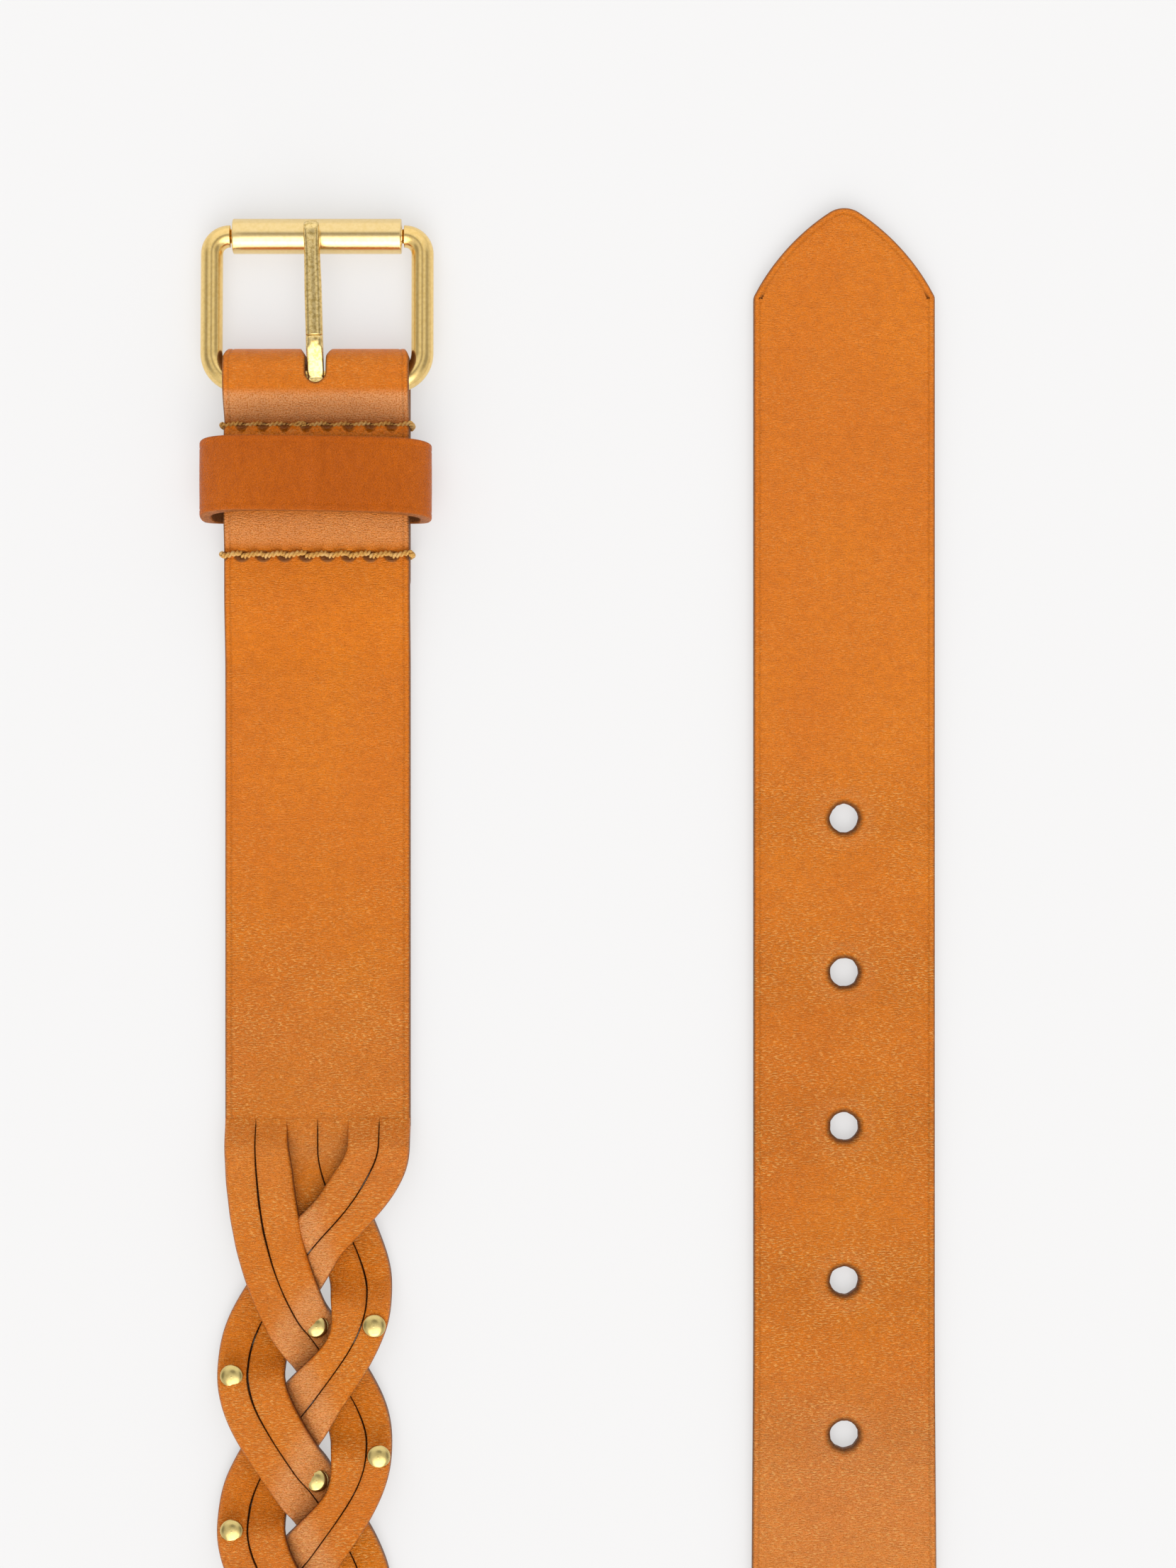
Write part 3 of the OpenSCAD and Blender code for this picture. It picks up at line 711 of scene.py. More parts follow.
def line(a, b, step):
    """Points from a up to, but not including, b."""
    a, b = np.array(a, float), np.array(b, float)
    count = max(1, int(round(np.linalg.norm(b - a) / step)))
    return a + (b - a) * np.arange(count)[:, None] / count


def arc2(centre, r, a0, a1, step=0.3):
    """Points of an arc in degrees, its end left out."""
    count = max(2, int(round(abs(np.radians(a1 - a0)) * r / step)))
    return np.array(centre) + polar(r, np.radians(a0 + (a1 - a0) * np.arange(count) / count))


def grid_points(low_v, high_v, step_u, step_v, shuffle=0.25, seed=1):
    """Slightly shuffled points over the strap's width, from low_v to high_v."""
    us = np.arange(-GRID_HALF, GRID_HALF + 1e-6, step_u)
    vs = np.arange(low_v, high_v + 1e-6, step_v)
    u, v = np.meshgrid(us, vs)
    rng = np.random.default_rng(seed)
    u = u + rng.uniform(-shuffle, shuffle, u.shape) * step_u
    v = v + rng.uniform(-shuffle, shuffle, v.shape) * step_v
    return np.stack([u.ravel(), v.ravel()], -1)


def row_points(v):
    return grid_points(v, v, 0.6, 1, 0)


def outside_rows(points, low, high):
    return points[(points[:, 1] < low) | (points[:, 1] > high)]


# The buckle end, as in the part's side view. s is v above the bar and the way round the fold below
STATIONS = np.array([[0, BAR[2] + FOLD_MID_R - FOLD_T / 2], [ROW_FRONT_V, LOW_Z],
                     [KEEPER_V - 0.05, HIGH_Z], [KEEPER_END_V + 0.05, HIGH_Z],
                     [ROW_REAR_V, LOW_Z], [TAB_LEN - 0.4, LOW_Z], [TAB_LEN + 13, 0],
                     [FLEX_V, 0], [BELT_LEN, 0]])
FOLD_END_S = -FOLD_FRONT - np.pi * FOLD_MID_R
TAB_END_S = FOLD_END_S - FOLD_FRONT - TAB_LEN
FOLD_MIDDLE_S = (-FOLD_FRONT + FOLD_END_S) / 2


def under_z(v):
    i = np.clip(np.searchsorted(STATIONS[:, 0], v, side="right") - 1, 0, len(STATIONS) - 2)
    low, high = STATIONS[i], STATIONS[i + 1]
    return mix(low[:, 1], high[:, 1], ease((v - low[:, 0]) / (high[:, 0] - low[:, 0])))


def thickness(s):
    thick = mix(FOLD_T, STRAP_T, ramp(s, ROW_FRONT_V, KEEPER_END_V))
    return np.where(s < TAB_END_S + 12, mix(1.2, FOLD_T, ramp(s, TAB_END_S, TAB_END_S + 12)),
                    thick)


def side_view(s):
    """[y, z] of the middle of the leather, from the bar's place, at each s."""
    s = np.asarray(s, float)
    v = np.maximum(s, 0)
    slope = (under_z(v + 0.05) - under_z(np.maximum(v - 0.05, 0))) / 0.1
    lean = np.sqrt(1 + slope ** 2)
    z = under_z(v) + lean * thickness(s) / 2
    turned = np.clip((-FOLD_FRONT - s) / FOLD_MID_R, 0, np.pi)
    y = np.where(s > 0, -s, np.minimum(-s, FOLD_FRONT) + FOLD_MID_R * np.sin(turned))
    z = np.where(s > 0, z, BAR[2] + FOLD_MID_R * np.cos(turned))
    back = np.maximum(FOLD_END_S - s, 0)
    sag = np.where(s < FOLD_END_S, (thickness(s) - FOLD_T) / 2, 0)
    return np.stack([y - back, z + sag], -1)


def strap_place(uv, side, depth):
    """Row-frame points of the buckle end. The grain face is outermost round the fold."""
    u, s = uv[:, 0], uv[:, 1]
    h = 0.02
    up = left_of(side_view(s - h) - side_view(s + h))
    w = side * (thickness(s) / 2 - depth)
    sunk = 0
    # the rows of stitches pull the grain down, most at each hole, on both layers
    for row in (ROW_FRONT_V, ROW_REAR_V):
        hole = np.abs((u / STITCH_PITCH) % 1 - 0.5) * STITCH_PITCH
        hole = np.where(np.abs(u) > 13.5, 3, hole)
        for off, trough, pit in ((np.abs(s - row), 0.16, 0.5),
                                 (np.abs(s - (FOLD_END_S - FOLD_FRONT - row)), 0.12, 0.35)):
            sunk = sunk + (trough * np.exp(-(off / 0.7) ** 2)
                           + pit * np.exp(-(off ** 2 + hole ** 2) / 0.30))
    # the grain face is never quite flat
    w = w + np.where(side > 0, 0.05 * lumps(u, s, 9, 3) * ramp(s, 0, 4) - sunk, 0)
    # where the braid starts, the end is tucked below the strands' own tops
    w = w - np.where(s > BRAID_START + 1e-4, TUCK * ramp(s, BRAID_START, BRAID_START + 0.5), 0)
    # the fold's inside corners stand clear of the buckle's heels
    relief = np.clip((np.abs(u) - 12.2) / 2.8, 0, 1) ** 2
    w = w + (side < 0) * 0.3 * relief * np.exp(-((s - FOLD_MIDDLE_S) / 5.5) ** 2)
    at = side_view(s) + up * w[:, None]
    return np.stack([BAR[0] + u, BAR[1] + at[:, 0], np.maximum(at[:, 1], FLOOR_CLEAR)], -1)


def corner_share(s):
    """1 at the fold's very front, 0 beyond 2.6 mm from it."""
    return np.clip(1 - ((s - FOLD_MIDDLE_S) / 2.6) ** 2, 0, 1) ** 1.5


def blend_flex(piece):
    """Bakes a piece's placing into its mesh."""
    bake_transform(piece)


def buckle_strap():
    """The buckle end: folded round the bar with the prong's notch, and turned under as a tab."""
    end_v, tab = BRAID_START + 1.5, TAB_END_S
    corner_x = STRAP_W / 2 - 2
    right = np.concatenate([np.arange(end_v, 10, -0.5), np.arange(10, FOLD_END_S - 3, -0.3),
                            np.arange(FOLD_END_S - 3, tab + 2.5, -0.5)])
    right = np.stack([STRAP_W / 2 - 0.55 * corner_share(right), right], -1)
    outer = np.concatenate([right, arc2((corner_x, tab + 2), 2, 0, -90),
                            line((corner_x, tab), (-corner_x, tab), 0.5),
                            arc2((-corner_x, tab + 2), 2, -90, -180), right[::-1] * [-1, 1],
                            line((-STRAP_W / 2, end_v), (STRAP_W / 2, end_v), 0.6)[1:]])[::-1]
    slot_low, slot_high = FOLD_END_S - FOLD_FRONT - 0.45, NOTCH_END_V - NOTCH_R
    sides = np.arange(slot_low, slot_high, 0.3)
    sides = np.stack([NOTCH_R + 0.75 * corner_share(sides), sides], -1)
    notch = np.concatenate([sides, arc2((0, slot_high), NOTCH_R, 0, 180, 0.2),
                            sides[::-1] * [-1, 1],
                            arc2((0, slot_low), NOTCH_R, 180, 360, 0.2)])[::-1]
    main = grid_points(tab, end_v, 0.9, 0.9)
    for low, high in ((FOLD_END_S - 4, KEEPER_V + 1), (ROW_REAR_V - 1.6, ROW_REAR_V + 1.6),
                      (BRAID_START - 0.3, end_v)):
        main = outside_rows(main, low, high)
    grid = [main, grid_points(FOLD_END_S - 4, 5.4, 0.6, 0.4),
            grid_points(5.5, KEEPER_V + 1, 0.28, 0.28),
            grid_points(ROW_REAR_V - 1.5, ROW_REAR_V + 1.5, 0.28, 0.28),
            row_points(BRAID_START - 0.06), row_points(BRAID_START)]
    piece = cut_hide(
        "strap_buckle_end",
        [(outer, *EDGE_SHAPES),
         (notch, round_over(0.3, ((0.6, 0.0),)), round_over(0.2, ((0.6, 0.0),)))],
        np.concatenate(grid), strap_place,
        # more crease dashes toward the braid, painted pale as a glint where the soft light catches
        lambda uv: 0.3 + 0.7 * ramp(uv[:, 1], 60, 110),
        # painted sheen on slopes facing the soft light: down from the bar, down from the keeper, and faintly
        # toward the braid
        lambda uv: (ramp(uv[:, 1], 0.9, 2.2) * ramp(-uv[:, 1], -7, -5)
                    + 0.6 * ramp(uv[:, 1], 20, 23) * ramp(-uv[:, 1], -27.5, -25)
                    + 0.12 * ramp(uv[:, 1], 85, 119)))
    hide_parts("buckle_strap", "strap_body")
    blend_flex(piece)


def billet_place(uv, side, depth):
    """Row-frame points of the pointed end."""
    u, v = uv[:, 0], uv[:, 1]
    top = side > 0
    w = side * (STRAP_T / 2 - depth) + np.where(top, 0.05 * lumps(u, v, 11, 8), 0)
    tuck = TUCK * ramp(v, BRAID_END, BRAID_END - 0.5)
    w = w - np.where((v < BRAID_END - 1e-4) & top, tuck, 0)
    return np.stack([TIP_X - u, TIP_Y - BELT_LEN + v, STRAP_T / 2 + w], -1)


def billet():
    """The pointed end, with its five holes. u runs to the left here, as the belt has turned."""
    start_v = BRAID_END - 1.5
    hole_v = BELT_LEN - (TIP_Y - np.array(HOLES))
    # the point's nose, its long curved side and the shoulder's small rounding
    nose_r, side_r, shoulder_r = 4.43, 36.3, 1.3
    half = np.concatenate([arc2((0, -nose_r), nose_r, 90, 56.5, 0.3),
                           arc2((-17.6, -31), side_r, 55, 29.4, 0.5),
                           arc2((TIP_W / 2 - shoulder_r, -14.75), shoulder_r, 24, 0, 0.25)])
    runs = np.arange(-15.0, start_v - BELT_LEN, -0.6)
    width = mix(TIP_W, STRAP_W, ramp(-runs, BELT_LEN - BRAID_END - 60, BELT_LEN - BRAID_END)) / 2
    half = np.concatenate([half, np.stack([width, runs], -1)])
    base = line((STRAP_W / 2, start_v - BELT_LEN), (-STRAP_W / 2, start_v - BELT_LEN), 0.6)
    outer = np.concatenate([half, base, half[1:][::-1] * [-1, 1]])[::-1] + [0, BELT_LEN]
    loops = [(outer, *EDGE_SHAPES)]
    rng = np.random.default_rng(5)
    a = np.linspace(0, 2 * np.pi, 56, endpoint=False)
    for v in hole_v:
        uneven = np.convolve(np.tile(rng.uniform(-1, 1, 56), 3), [1, 2, 1], "same")[56:112]
        loop = (polar(HOLE_R + 0.05 * uneven / 2, a) + [0, v])[::-1]
        loops.append((loop, PRESSED_RIM, round_over(0.15, ((0.8, 0.0), (1.6, 0.0)))))
    grid = outside_rows(grid_points(start_v, BELT_LEN, 0.9, 0.9, seed=2), start_v,
                        BRAID_END + 0.3)
    grid = np.concatenate([grid, row_points(BRAID_END + 0.05), row_points(BRAID_END)])

    def crease(uv):
        near = np.min(np.abs(uv[:, 1:] - hole_v), axis=1)
        return 0.3 + 0.5 * ramp(-uv[:, 1], -980, -900) + 0.5 * np.exp(-(near / 7) ** 2)

    def pull(uv):
        """A painted sheen: a band 182 to 300 mm short of the point,
        and a ring round each hole.
        """
        beyond = hole_v - uv[:, 1:]
        arc = np.abs(np.hypot(uv[:, :1], beyond) - 4.2)
        sheen_band = ramp(-uv[:, 1], 182 - BELT_LEN, 207 - BELT_LEN)
        sheen_band = 0.3 * sheen_band * ramp(uv[:, 1], BELT_LEN - 300, BELT_LEN - 240)
        return sheen_band + np.max(np.exp(-(arc / 1.1) ** 2) * (np.abs(beyond) < 5), axis=1) * 0.12

    piece = cut_hide("strap_tip_end", loops, grid, billet_place, crease, pull)
    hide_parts("billet_base", "billet_tip")
    blend_flex(piece)


# ---------------------------------------------------------------- strands
def blend_turn(piece):
    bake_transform(piece)


def strand_section(places, side, thick, soft, open_up, loose, line_q):
    """A strand's section at each place, anticlockwise from its top left: arrays of the distance
    from its left edge, the height above its middle, and the shares of cut edge and flesh."""
    columns = []

    def add(q, w, edge=0.0, flesh=0.0):
        columns.append(np.broadcast_arrays(places, q, w, edge, flesh)[1:])

    def corner(r, a, right, top):
        inset, height = r * (1 - np.cos(a)), thick / 2 - r * (1 - np.sin(a))
        shares = (max(0, 1 - 1.1 * a), 0) if top else (a < 0.5, a > 0.5)
        add(STRAND_W - inset if right else inset, height if top else -height, *shares)

    slit_r = 0.02 + 0.05 * open_up + 0.05 * soft
    outer_r = mix(0.42 if line_q else 0.03, 0.62, soft)
    low_r = 0.03 + 0.22 * soft
    turns = np.linspace(0, np.pi / 2, 5)
    for a in turns:
        corner(outer_r if side < 0 else slit_r, a, False, True)
    for q in (0.7, 0.9, 1.05, 1.25, 1.8, 2.5, 3.2, 3.75, 3.95, 4.1, 4.3):
        pressed = line_q and line_q[0] < q < line_q[1]
        add(q, thick / 2 - (0.07 * (1 - 0.6 * loose) if pressed else 0))
    for a in turns[::-1]:
        corner(slit_r if side < 0 else outer_r, a, True, True)
    add(STRAND_W, 0, 1)
    for a in turns[::2]:
        corner(low_r, a, True, False)
    for q in (4.0, 2.5, 1.0):
        add(q, -thick / 2, 0, 1)
    for a in turns[::-2]:
        corner(low_r, a, False, False)
    add(0, 0, 1)
    return (np.stack([c[k] for c in columns], 1) for k in range(4))


def strand(number):
    """One strand: rounded cut edges, a crowned face, and dents round its rivets."""
    pair, side = (number - 1) // 2, -1 if number % 2 else 1
    places = np.concatenate([BRAID_START + STRAND_ENDS,
                             np.arange(BRAID_START + 3.4, BRAID_END - 3.4, 0.82),
                             BRAID_END - STRAND_ENDS[::-1]])
    loose, soft, open_up = (between(places, BRAID_START, BRAID_END, fade)
                            for fade in (9, 5, 1.2))
    thick = mix(STRAP_T, 2.2, loose)
    q, w, edge, flesh = strand_section(places, side, thick, soft, open_up, loose,
                                       {1: (0.85, 1.1), 6: (3.9, 4.15)}.get(number))
    loose, soft, open_up = loose[:, None], soft[:, None], open_up[:, None]
    v = np.repeat(places[:, None], q.shape[1], 1)
    lean = np.sqrt(1 + pair_slope(v, pair) ** 2)
    sine = np.sin(np.radians(phase(v, pair)))
    # the slit gapes near the top at the bends, and is closed lower down
    gap = np.where(w > 0.3, 0.02 + 0.03 * open_up + loose * 0.05 * sine ** 4, 0.01)
    width = STRAND_W - gap
    ripple = 0.05 * lumps(v, 0 * v, 6, 40 + number) * loose
    span = q / STRAND_W * width
    du = (span - width - gap if side < 0 else span + gap) + ripple * np.sign(q - 2.5)
    far = np.abs(du) / STRAND_W
    swing = np.clip(-side * sine, 0, 1)
    du = du * lean * (1 + (0.2 if side > 0 else 0.02) * loose * swing)
    if number == 3:     # it starts wider, and closes the gap beside the left pair
        start = between(v, BRAID_START + 4, BRAID_START + 26, 7)
        du = du - 1.5 * start * (1 - q / STRAND_W)
    du = squeezed(v, pair, du)
    top = w > 0
    crown = 0.16 * loose * (1 - (2 * q / STRAND_W - 1) ** 2)
    w = w + np.where(top, crown, 0.4 * crown) - 0.22 * loose * far ** 3
    w = w + np.where(top, 0.06 * lumps(du + 7 * number, v, 7, 60 + number) * loose, 0)
    for rivet_v, rivet_pair, rivet_side, part in RIVETS:
        if rivet_pair == pair and rivet_side == side:
            away = np.hypot((v - rivet_v) * lean, (q - STRAND_W * part))
            dent = 0.16 * np.exp(-((away - RIVET_D / 2 + 0.1) / 0.45) ** 2)
            w = w - np.where(top & (np.abs(v - rivet_v) < 5), dent, 0)
    lift = (thick - STRAND_T)[:, None] / 2
    at = place(v, pair_u(v, pair) + du, strand_z(v, pair, du) + w + lift * (1 - loose))
    at[..., 2] = np.maximum(at[..., 2], FLOOR_CLEAR)
    # painted shade darkens the slit's rim; a painted sheen lightens the face where it slopes down
    # toward the soft light before passing under others, and faintly near the braid's start
    from_slit = q if side > 0 else STRAND_W - q
    slit_shade = np.where(top, 0.6 * np.exp(-from_slit / 0.08), 0) * open_up
    edge = np.clip(edge * (0.25 + 0.75 * soft) + slit_shade, 0, 1)
    turning = np.abs(pair_slope(v, pair))
    crease = 1.0 + loose * (0.25 * lumps(v, du, 14, 90 + number) + 0.1 * turning - 0.2)
    fall = (strand_z(v - 4, pair, du) - strand_z(v + 4, pair, du)) / 8
    pull = (np.clip(2.0 * fall, 0, 0.8) * loose
            + 0.12 * ramp(-v, -BRAID_START - 25, -BRAID_START))
    piece = make(f"strand_{number}", at, tube(at), strap_leather,
                 uv=np.stack([home(pair) + du / lean, v], -1), edge=edge * 0.9, flesh=flesh,
                 crease=crease, pull=np.where(top, pull, 0))
    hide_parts(f"strand_{number}_left", f"strand_{number}_right")
    blend_turn(piece)


# ---------------------------------------------------------------- rivets
def revolve(profile, count):
    """Rings of a turned shape from [(radius, height)]."""
    a = np.linspace(0, 2 * np.pi, count, endpoint=False)
    return np.stack([np.stack([*polar(r, a).T, 0 * a + z], -1) for r, z in profile])


def rivets(name, profile, nodes):
    """All rivet caps or backs, as one piece placed along the belt."""
    shape = revolve(profile, 32)
    points, faces = [], []
    for v, pair, side, part in RIVETS:
        v = np.array([float(v)])
        lean = np.sqrt(1 + pair_slope(v, pair) ** 2)
        du = squeezed(v, pair, (STRAND_W * part - (STRAND_W if side < 0 else 0)) * lean)
        centre = place(v, pair_u(v, pair) + du, strand_z(v, pair, du))[0]
        axes = np.stack([across(v)[0], -forward(v)[0], outward(v)[0]], 0)
        placed = shape.reshape(-1, 3) @ axes + centre
        placed[:, 2] = np.maximum(placed[:, 2], FLOOR_CLEAR)
        faces += tube(shape, first=len(points) * len(placed))
        points.append(placed)
    piece = make(name, points, faces, rivet_brass)
    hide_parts(*nodes)
    blend_turn(piece)


def rivet_profiles():
    r, base = RIVET_D / 2, STRAND_T / 2 + 0.02
    dome = [(0.75, base - 1.4), (0.75, base), (r - 0.1, base), (r, base + 0.1),
            (r - 0.03, base + 0.2)]
    for a in np.radians([18, 34, 48, 60, 70, 78, 85]):
        dome.append(((r - 0.06) * np.cos(a) ** 0.8, base + 0.2 + (RIVET_H - 0.2) * np.sin(a)))
    dome.append((0.02, base + RIVET_H))
    low = -STRAND_T / 2
    back = [(0.3, low + 0.5), (0.9 * r, low + 0.45), (0.9 * r, low + 0.1), (0.82 * r, low),
            (0.45 * r, low), (0.35 * r, low + 0.12), (0.02, low + 0.12)]
    return dome, back[::-1]


# ---------------------------------------------------------------- stitches
def twisted(path, r):
    """Points and faces of a two-ply thread along a path."""
    path, gone = resample(path, 0.11)
    side, up = path_frames(path, np.array([0.02, 1, 0.03]))
    ply_r = 0.56 * r
    points, faces = [], []
    for ply in range(2):
        turn = 2 * np.pi * (gone / PLY_TWIST_LEN + ply / 2)
        centre = path + (r - ply_r) * (column(np.cos(turn)) * side + column(np.sin(turn)) * up)
        rings = rings_round(centre, ply_r, side, up, 8)
        faces += tube(rings, first=ply * len(path) * 8)
        points.append(rings.reshape(-1, 3))
    return np.concatenate(points), faces


def stitch_row(name, node, row_v, seed, knotted=False):
    """Saddle stitches across the strap, round both its edges and back underneath."""
    rng = np.random.default_rng(seed)
    top = float(under_z(np.array([row_v]))[0] + thickness(np.array([row_v]))[0])
    # heights of the thread's middle on the face and underneath
    high, low = top + 0.36, 0.3
    end_x = STRAP_W / 2 + 0.25
    stops = [-end_x, *(np.arange(8) - 3.5) * STITCH_PITCH, end_x]
    over, under = [], []
    for i, (a, b) in enumerate(zip(stops, stops[1:])):
        t = np.linspace(0, 1, 21)[:-1]
        lift = np.minimum(1, np.sin(np.pi * t) ** 0.75 * 1.08)
        if i == 0:
            lift = np.where(t < 0.5, 1, lift)
        if i == len(stops) - 2:
            lift = np.where(t > 0.5, 1, lift)
        slant = -0.26 * np.cos(np.pi * t) + rng.uniform(-0.05, 0.05)
        z = high - 1.15 * (1 - lift) + rng.uniform(-0.04, 0.04)
        over.append(np.stack([mix(a, b, t), slant, z], -1))
        under.append(np.stack([mix(a, b, t), -slant, low + 0.75 * (1 - lift)], -1))
    over, under = np.concatenate(over), np.concatenate(under)
    a = np.linspace(0, 1, 16)
    down = np.stack([end_x + 0.12 * np.sin(np.pi * a), 0 * a, mix(high, low, ease(a))], -1)
    path = np.concatenate([over, down, under[::-1], down[::-1] * [-1, 1, 1]])
    row_at = [BAR[0], BAR[1] - row_v, 0]
    points, faces = twisted(path + row_at, THREAD_R)
    if knotted:
        a = np.linspace(0, 2 * np.pi * 1.6, 40)
        knot = np.stack([-0.9 * STITCH_PITCH + 0.55 * np.cos(a) + 0.1 * a, 0.34 * np.sin(a),
                         top + 0.42 + 0.1 * np.sin(a * 0.5)], -1)
        more, extra = twisted(knot + row_at, 0.3)
        faces += [tuple(k + len(points) for k in f) for f in extra]
        points = np.concatenate([points, more])
    points[:, 2] = np.maximum(points[:, 2], 0.02)
    piece = make(name, points, faces, thread)
    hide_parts(node)
    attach(piece, "buckle_end")


# ---------------------------------------------------------------- keeper
def keeper():
    """The loop, its cut edges rounded and paler, its ends joined underneath."""
    mid_z, flat_x = 6.55, STRAP_W / 2 + 0.3

    def outline(low, half, high):
        a = np.linspace(-np.pi / 2, 0, 14)
        corner = np.stack([flat_x + (half - flat_x) * np.cos(a),
                           mid_z + (mid_z - low) * np.sin(a)], -1)
        a = np.linspace(0, np.pi / 2, 50)[1:]
        crown = np.stack([half * np.cos(a) ** 0.83, mid_z + (high - mid_z) * np.sin(a) ** 0.83],
                         -1)
        flat = np.stack([np.linspace(0, flat_x, 16)[:-1], np.full(15, low)], -1)
        right = np.concatenate([flat, corner, crown])
        return np.concatenate([right, right[1:-1][::-1] * [-1, 1]])

    half, low, high = (KEEPER_HIGH[0] - KEEPER_LOW[0]) / 2, KEEPER_LOW[2], KEEPER_HIGH[2]
    outer, inner = outline(low, half, high), outline(low + 1.3, half - 2, high - 2)
    to_end = (KEEPER_END_V - KEEPER_V) / 2
    r = 0.36
    # one end of the section, from the middle of the cut: (share of the thickness from inside,
    # inset from the end, edge)
    part = [(0.12, 0.02, 1.0), (0.5, 0.0, 1.0)]
    part += [(1 - r / 2 * (1 - np.sin(a)), r * (1 - np.cos(a)), max(0.0, 1 - a))
             for a in np.linspace(0, np.pi / 2, 5)]
    part += [(1 - dip / 2, inset, 0.0)
             for inset, dip in ((0.8, 0.0), (1.0, 0.05), (1.15, 0.05), (1.35, 0.0), (2.6, 0.0),
                                (4.4, -0.02))]
    section = [(f, inset - to_end, e, 0) for f, inset, e in part]
    section += [(f, to_end - inset, e, 0) for f, inset, e in part[::-1]]
    section += [(0, to_end - 0.3, 0.4, 1), (0, 2.5, 0, 1), (0, -2.5, 0, 1),
                (0, 0.3 - to_end, 0.4, 1)]
    share, along, edge, flesh = np.array(section).T
    ring = inner[:, None] + share[None, :, None] * (outer - inner)[:, None]
    gone = np.cumsum(np.linalg.norm(np.roll(outer, -1, 0) - outer, axis=1))
    gone, along = np.broadcast_arrays(gone[:, None], along[None])
    x, z = ring[..., 0], ring[..., 1]
    y = along + 0.10 * lumps(gone, 0.3 * along, 22, 12)
    # the loop leans: its crown lies nearer the buckle than its sides
    y = y + x * np.tan(np.radians(-0.8)) * ramp(z, 4, 9) + mix(-1.9, -0.45, ramp(z, 3.5, 11.5))
    centre_y = BAR[1] - (KEEPER_V + KEEPER_END_V) / 2
    count = len(outer)
    piece = make("keeper", np.stack([BAR[0] + x, centre_y + y, z], -1),
                 quads(count, len(share), closed=True), keeper_leather,
                 uv=np.stack([along + 40, gone - 300], -1), edge=np.tile(edge * 0.75, count),
                 flesh=np.tile(flesh, count), crease=np.zeros(ring.shape[:2]))
    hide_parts("keeper_loop")
    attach(piece, "buckle_end")


# ---------------------------------------------------------------- the buckle
FACET_LEN = 6.4
TILT = np.arcsin((BAR[2] - ROLLER[2]) / np.hypot(ROLLER[1] - BAR[1], BAR[2] - ROLLER[2]))
FRAME_LEN = np.hypot(ROLLER[1] - BAR[1], BAR[2] - ROLLER[2])
SIDE_X = FRAME_W / 2 - WIRE_R
TOE_R = SIDE_X - ROLLER_LEN / 2 - 0.5


def at_bar(points):
    """Points drawn with the bar along X at the origin and the roller along +Y."""
    return BAR + np.stack([points[..., 0], *spun(points[..., 1], points[..., 2], -TILT)], -1)


def buckle_frame():
    """One bent wire: its bar, two arms, and the thinner axle inside the roller."""
    def corner(cx, cy, r, a0):
        return [cx, cy] + polar(r, np.radians(np.linspace(a0, a0 + 90, 15)))

    axle_x = ROLLER_LEN / 2 + np.array([0.44, 0.4, -0.24, -0.28])
    axle_x = np.concatenate([axle_x, np.linspace(ROLLER_LEN / 2 - 1, 0, 10)])
    half = np.concatenate([
        np.stack([np.linspace(0, SIDE_X - HEEL_R, 12), np.zeros(12)], -1)[:-1],
        corner(SIDE_X - HEEL_R, HEEL_R, HEEL_R, -90),
        np.stack([np.full(14, SIDE_X), np.linspace(HEEL_R, FRAME_LEN - TOE_R, 14)], -1)[1:-1],
        corner(SIDE_X - TOE_R, FRAME_LEN - TOE_R, TOE_R, 0),
        np.stack([axle_x, np.full(14, FRAME_LEN)], -1)])
    path = np.concatenate([half, half[1:-1][::-1] * [-1, 1]])
    path = np.concatenate([path, 0 * path[:, :1]], 1)
    side, up = path_frames(path, np.array([0, 0, 1.0]), closed=True)
    # the wire is thinner inside the roller, and necked just beside it
    past = np.abs(path[:, 0]) - ROLLER_LEN / 2
    r = np.where((path[:, 1] > FRAME_LEN - 0.01) & (past < 0.1), AXLE_R, WIRE_R)
    r = np.where((path[:, 1] > FRAME_LEN - 0.6) & (np.abs(past - 0.08) < 0.34), NECK_R, r)
    rings = rings_round(path, r[:, None, None], side, up, 40)
    piece = make("buckle_wire", at_bar(rings), quads(len(path), 40, closed=True), buckle_brass)
    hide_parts("buckle_frame")
    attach(piece, "frame")


def roller():
    """A tube with turned-over ends."""
    half, bore, r, soft = ROLLER_LEN / 2, AXLE_R + 0.08, ROLLER_R, 0.22
    profile = [(bore, -half + 0.15), (bore + 0.12, -half + 0.02), (r - soft, -half)]
    for a in np.radians([25, 50, 75]):
        profile.append((r - soft * (1 - np.sin(a)), -half + soft * (1 - np.cos(a))))
    profile += [(r, -half + soft), (r, -half + 2), (r, -half / 2), (r, 0)]
    profile += [(radius, -z) for radius, z in profile[:-1][::-1]]
    rings = np.roll(revolve(profile, 64), 1, -1) + ROLLER
    # the last ring joins the first through the bore
    piece = make("roller_tube", rings, quads(len(rings), 64, closed=True), roller_brass)
    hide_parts("roller")
    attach(piece, "roller")


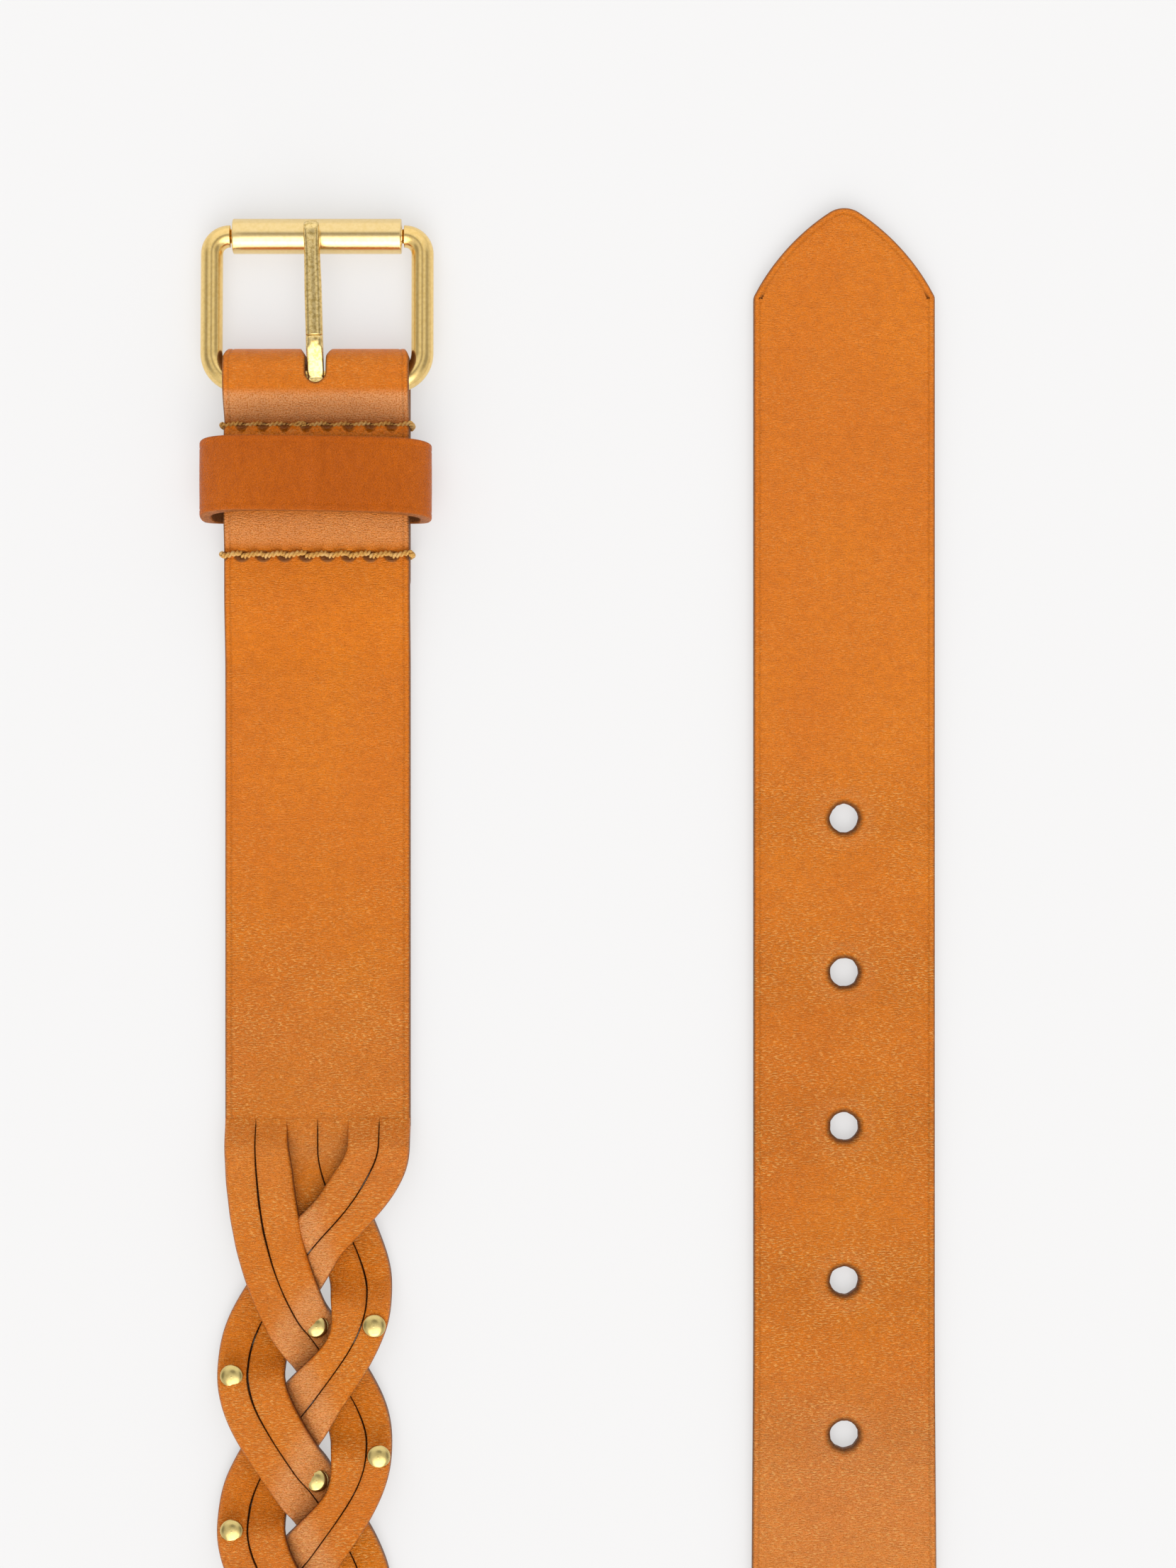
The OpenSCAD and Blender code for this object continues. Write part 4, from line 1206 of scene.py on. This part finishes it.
def prong():
    """A flattened end wrapped round the bar, a mottled round shank and a nose on the roller."""
    lean, climb = np.radians(1.6), np.radians(10.2)
    ring_r, bore = 3.0, WIRE_R + 0.08
    wrap_r = (ring_r + bore) / 2
    rest_r = ROLLER_R + 0.2
    shank_t = 2 * (FRAME_LEN * np.sin(climb) - rest_r)
    # the path in the plane across the bar: round it, along the facet and the shank, then round
    # the roller
    wrap = polar(wrap_r, np.radians(np.linspace(-20, -262, 44)))
    roller_at = np.array(spun(FRAME_LEN, 0, -climb))
    x = np.linspace(0.3, FACET_LEN, 22)
    half = mix(0.36, shank_t / 2, ramp(x, 0.3, FACET_LEN))
    facet_top = mix(2.5, 4.6, (x - 0.3) / (FACET_LEN - 0.3))
    facet = np.stack(spun(x, facet_top - half, -climb), -1)
    x = np.linspace(facet[-1, 0], roller_at[0], 50)[1:]
    shank = np.stack([x, facet[-1, 1] * (1 - ramp(x, x[0] - 5, roller_at[0] + 1))], -1)
    nose = roller_at + polar(rest_r + shank_t / 2, np.radians(np.linspace(90, 56, 10))[1:])
    path, gone = resample(np.concatenate([wrap, facet, shank, nose]), 0.22)
    up = left_of(np.gradient(path, axis=0))
    end = gone[-1]
    wrap_len = np.radians(242) * wrap_r

    def change(a, b, low, high):
        """From a to b between two lengths past the wrap, or before the end if negative."""
        return mix(a, b, ramp(gone, low + (wrap_len if high > 0 else end),
                              high + (wrap_len if high > 0 else end)))

    half_w = change(1.05, 1.34, -3, 2.6)
    half_w = change(half_w, 1.40, 4.5, 7.5)
    half_w = change(half_w, 1.27, -12, -3)
    half_t = mix((ring_r - bore) / 2, 0.36, ramp(gone, wrap_len - 3, wrap_len))
    half_t = change(half_t, shank_t / 2, 0.8, 6.8)
    close = np.sqrt(np.clip(1 - ((gone - end + 0.9) / 0.95).clip(0, 1) ** 2, 0.02, 1))
    half_t = half_t * mix(1.0, 0.45, ramp(gone, end - 1.3, end)) * np.sqrt(close)
    half_t = half_t * np.sqrt(np.clip(1 - (1 - gone / 0.6).clip(0, 1) ** 2, 0.05, 1))
    half_w = half_w * mix(0.55, 1, close)
    # flat and square on the wrap and its facet, rounder along the shank
    power = change(change(0.28, 0.72, 6.0, 6.9), 0.5, -6, -1)[:, None]
    c = np.linspace(0, 2 * np.pi, 36, endpoint=False)
    xs = np.sign(np.cos(c)) * np.abs(np.cos(c)) ** power * half_w[:, None]
    hs = np.sign(np.sin(c)) * np.abs(np.sin(c)) ** power * half_t[:, None]
    y, z = spun(path[:, :1] + up[:, :1] * hs, path[:, 1:] + up[:, 1:] * hs, climb)
    rings = np.stack([*spun(xs, y, lean), z], -1)
    piece = make("prong_pin", at_bar(rings), tube(rings), prong_brass)
    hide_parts("prong")
    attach(piece, "prong")


# ---------------------------------------------------------------- all of it
buckle_strap()
billet()
for strand_number in range(1, 7):
    strand(strand_number)
cap_profile, back_profile = rivet_profiles()
rivets("rivet_caps", cap_profile, ["rivet_caps_left", "rivet_caps_right"])
rivets("rivet_backs", back_profile, ["rivet_backs_left", "rivet_backs_right"])
stitch_row("stitches_front", "front_stitches", ROW_FRONT_V, 21, knotted=True)
stitch_row("stitches_rear", "rear_stitches", ROW_REAR_V, 22)
keeper()
buckle_frame()
roller()
prong()
staples = frame["nodes"]["keeper_staples"]
staples.data.materials.clear()
staples.data.materials.append(steel)
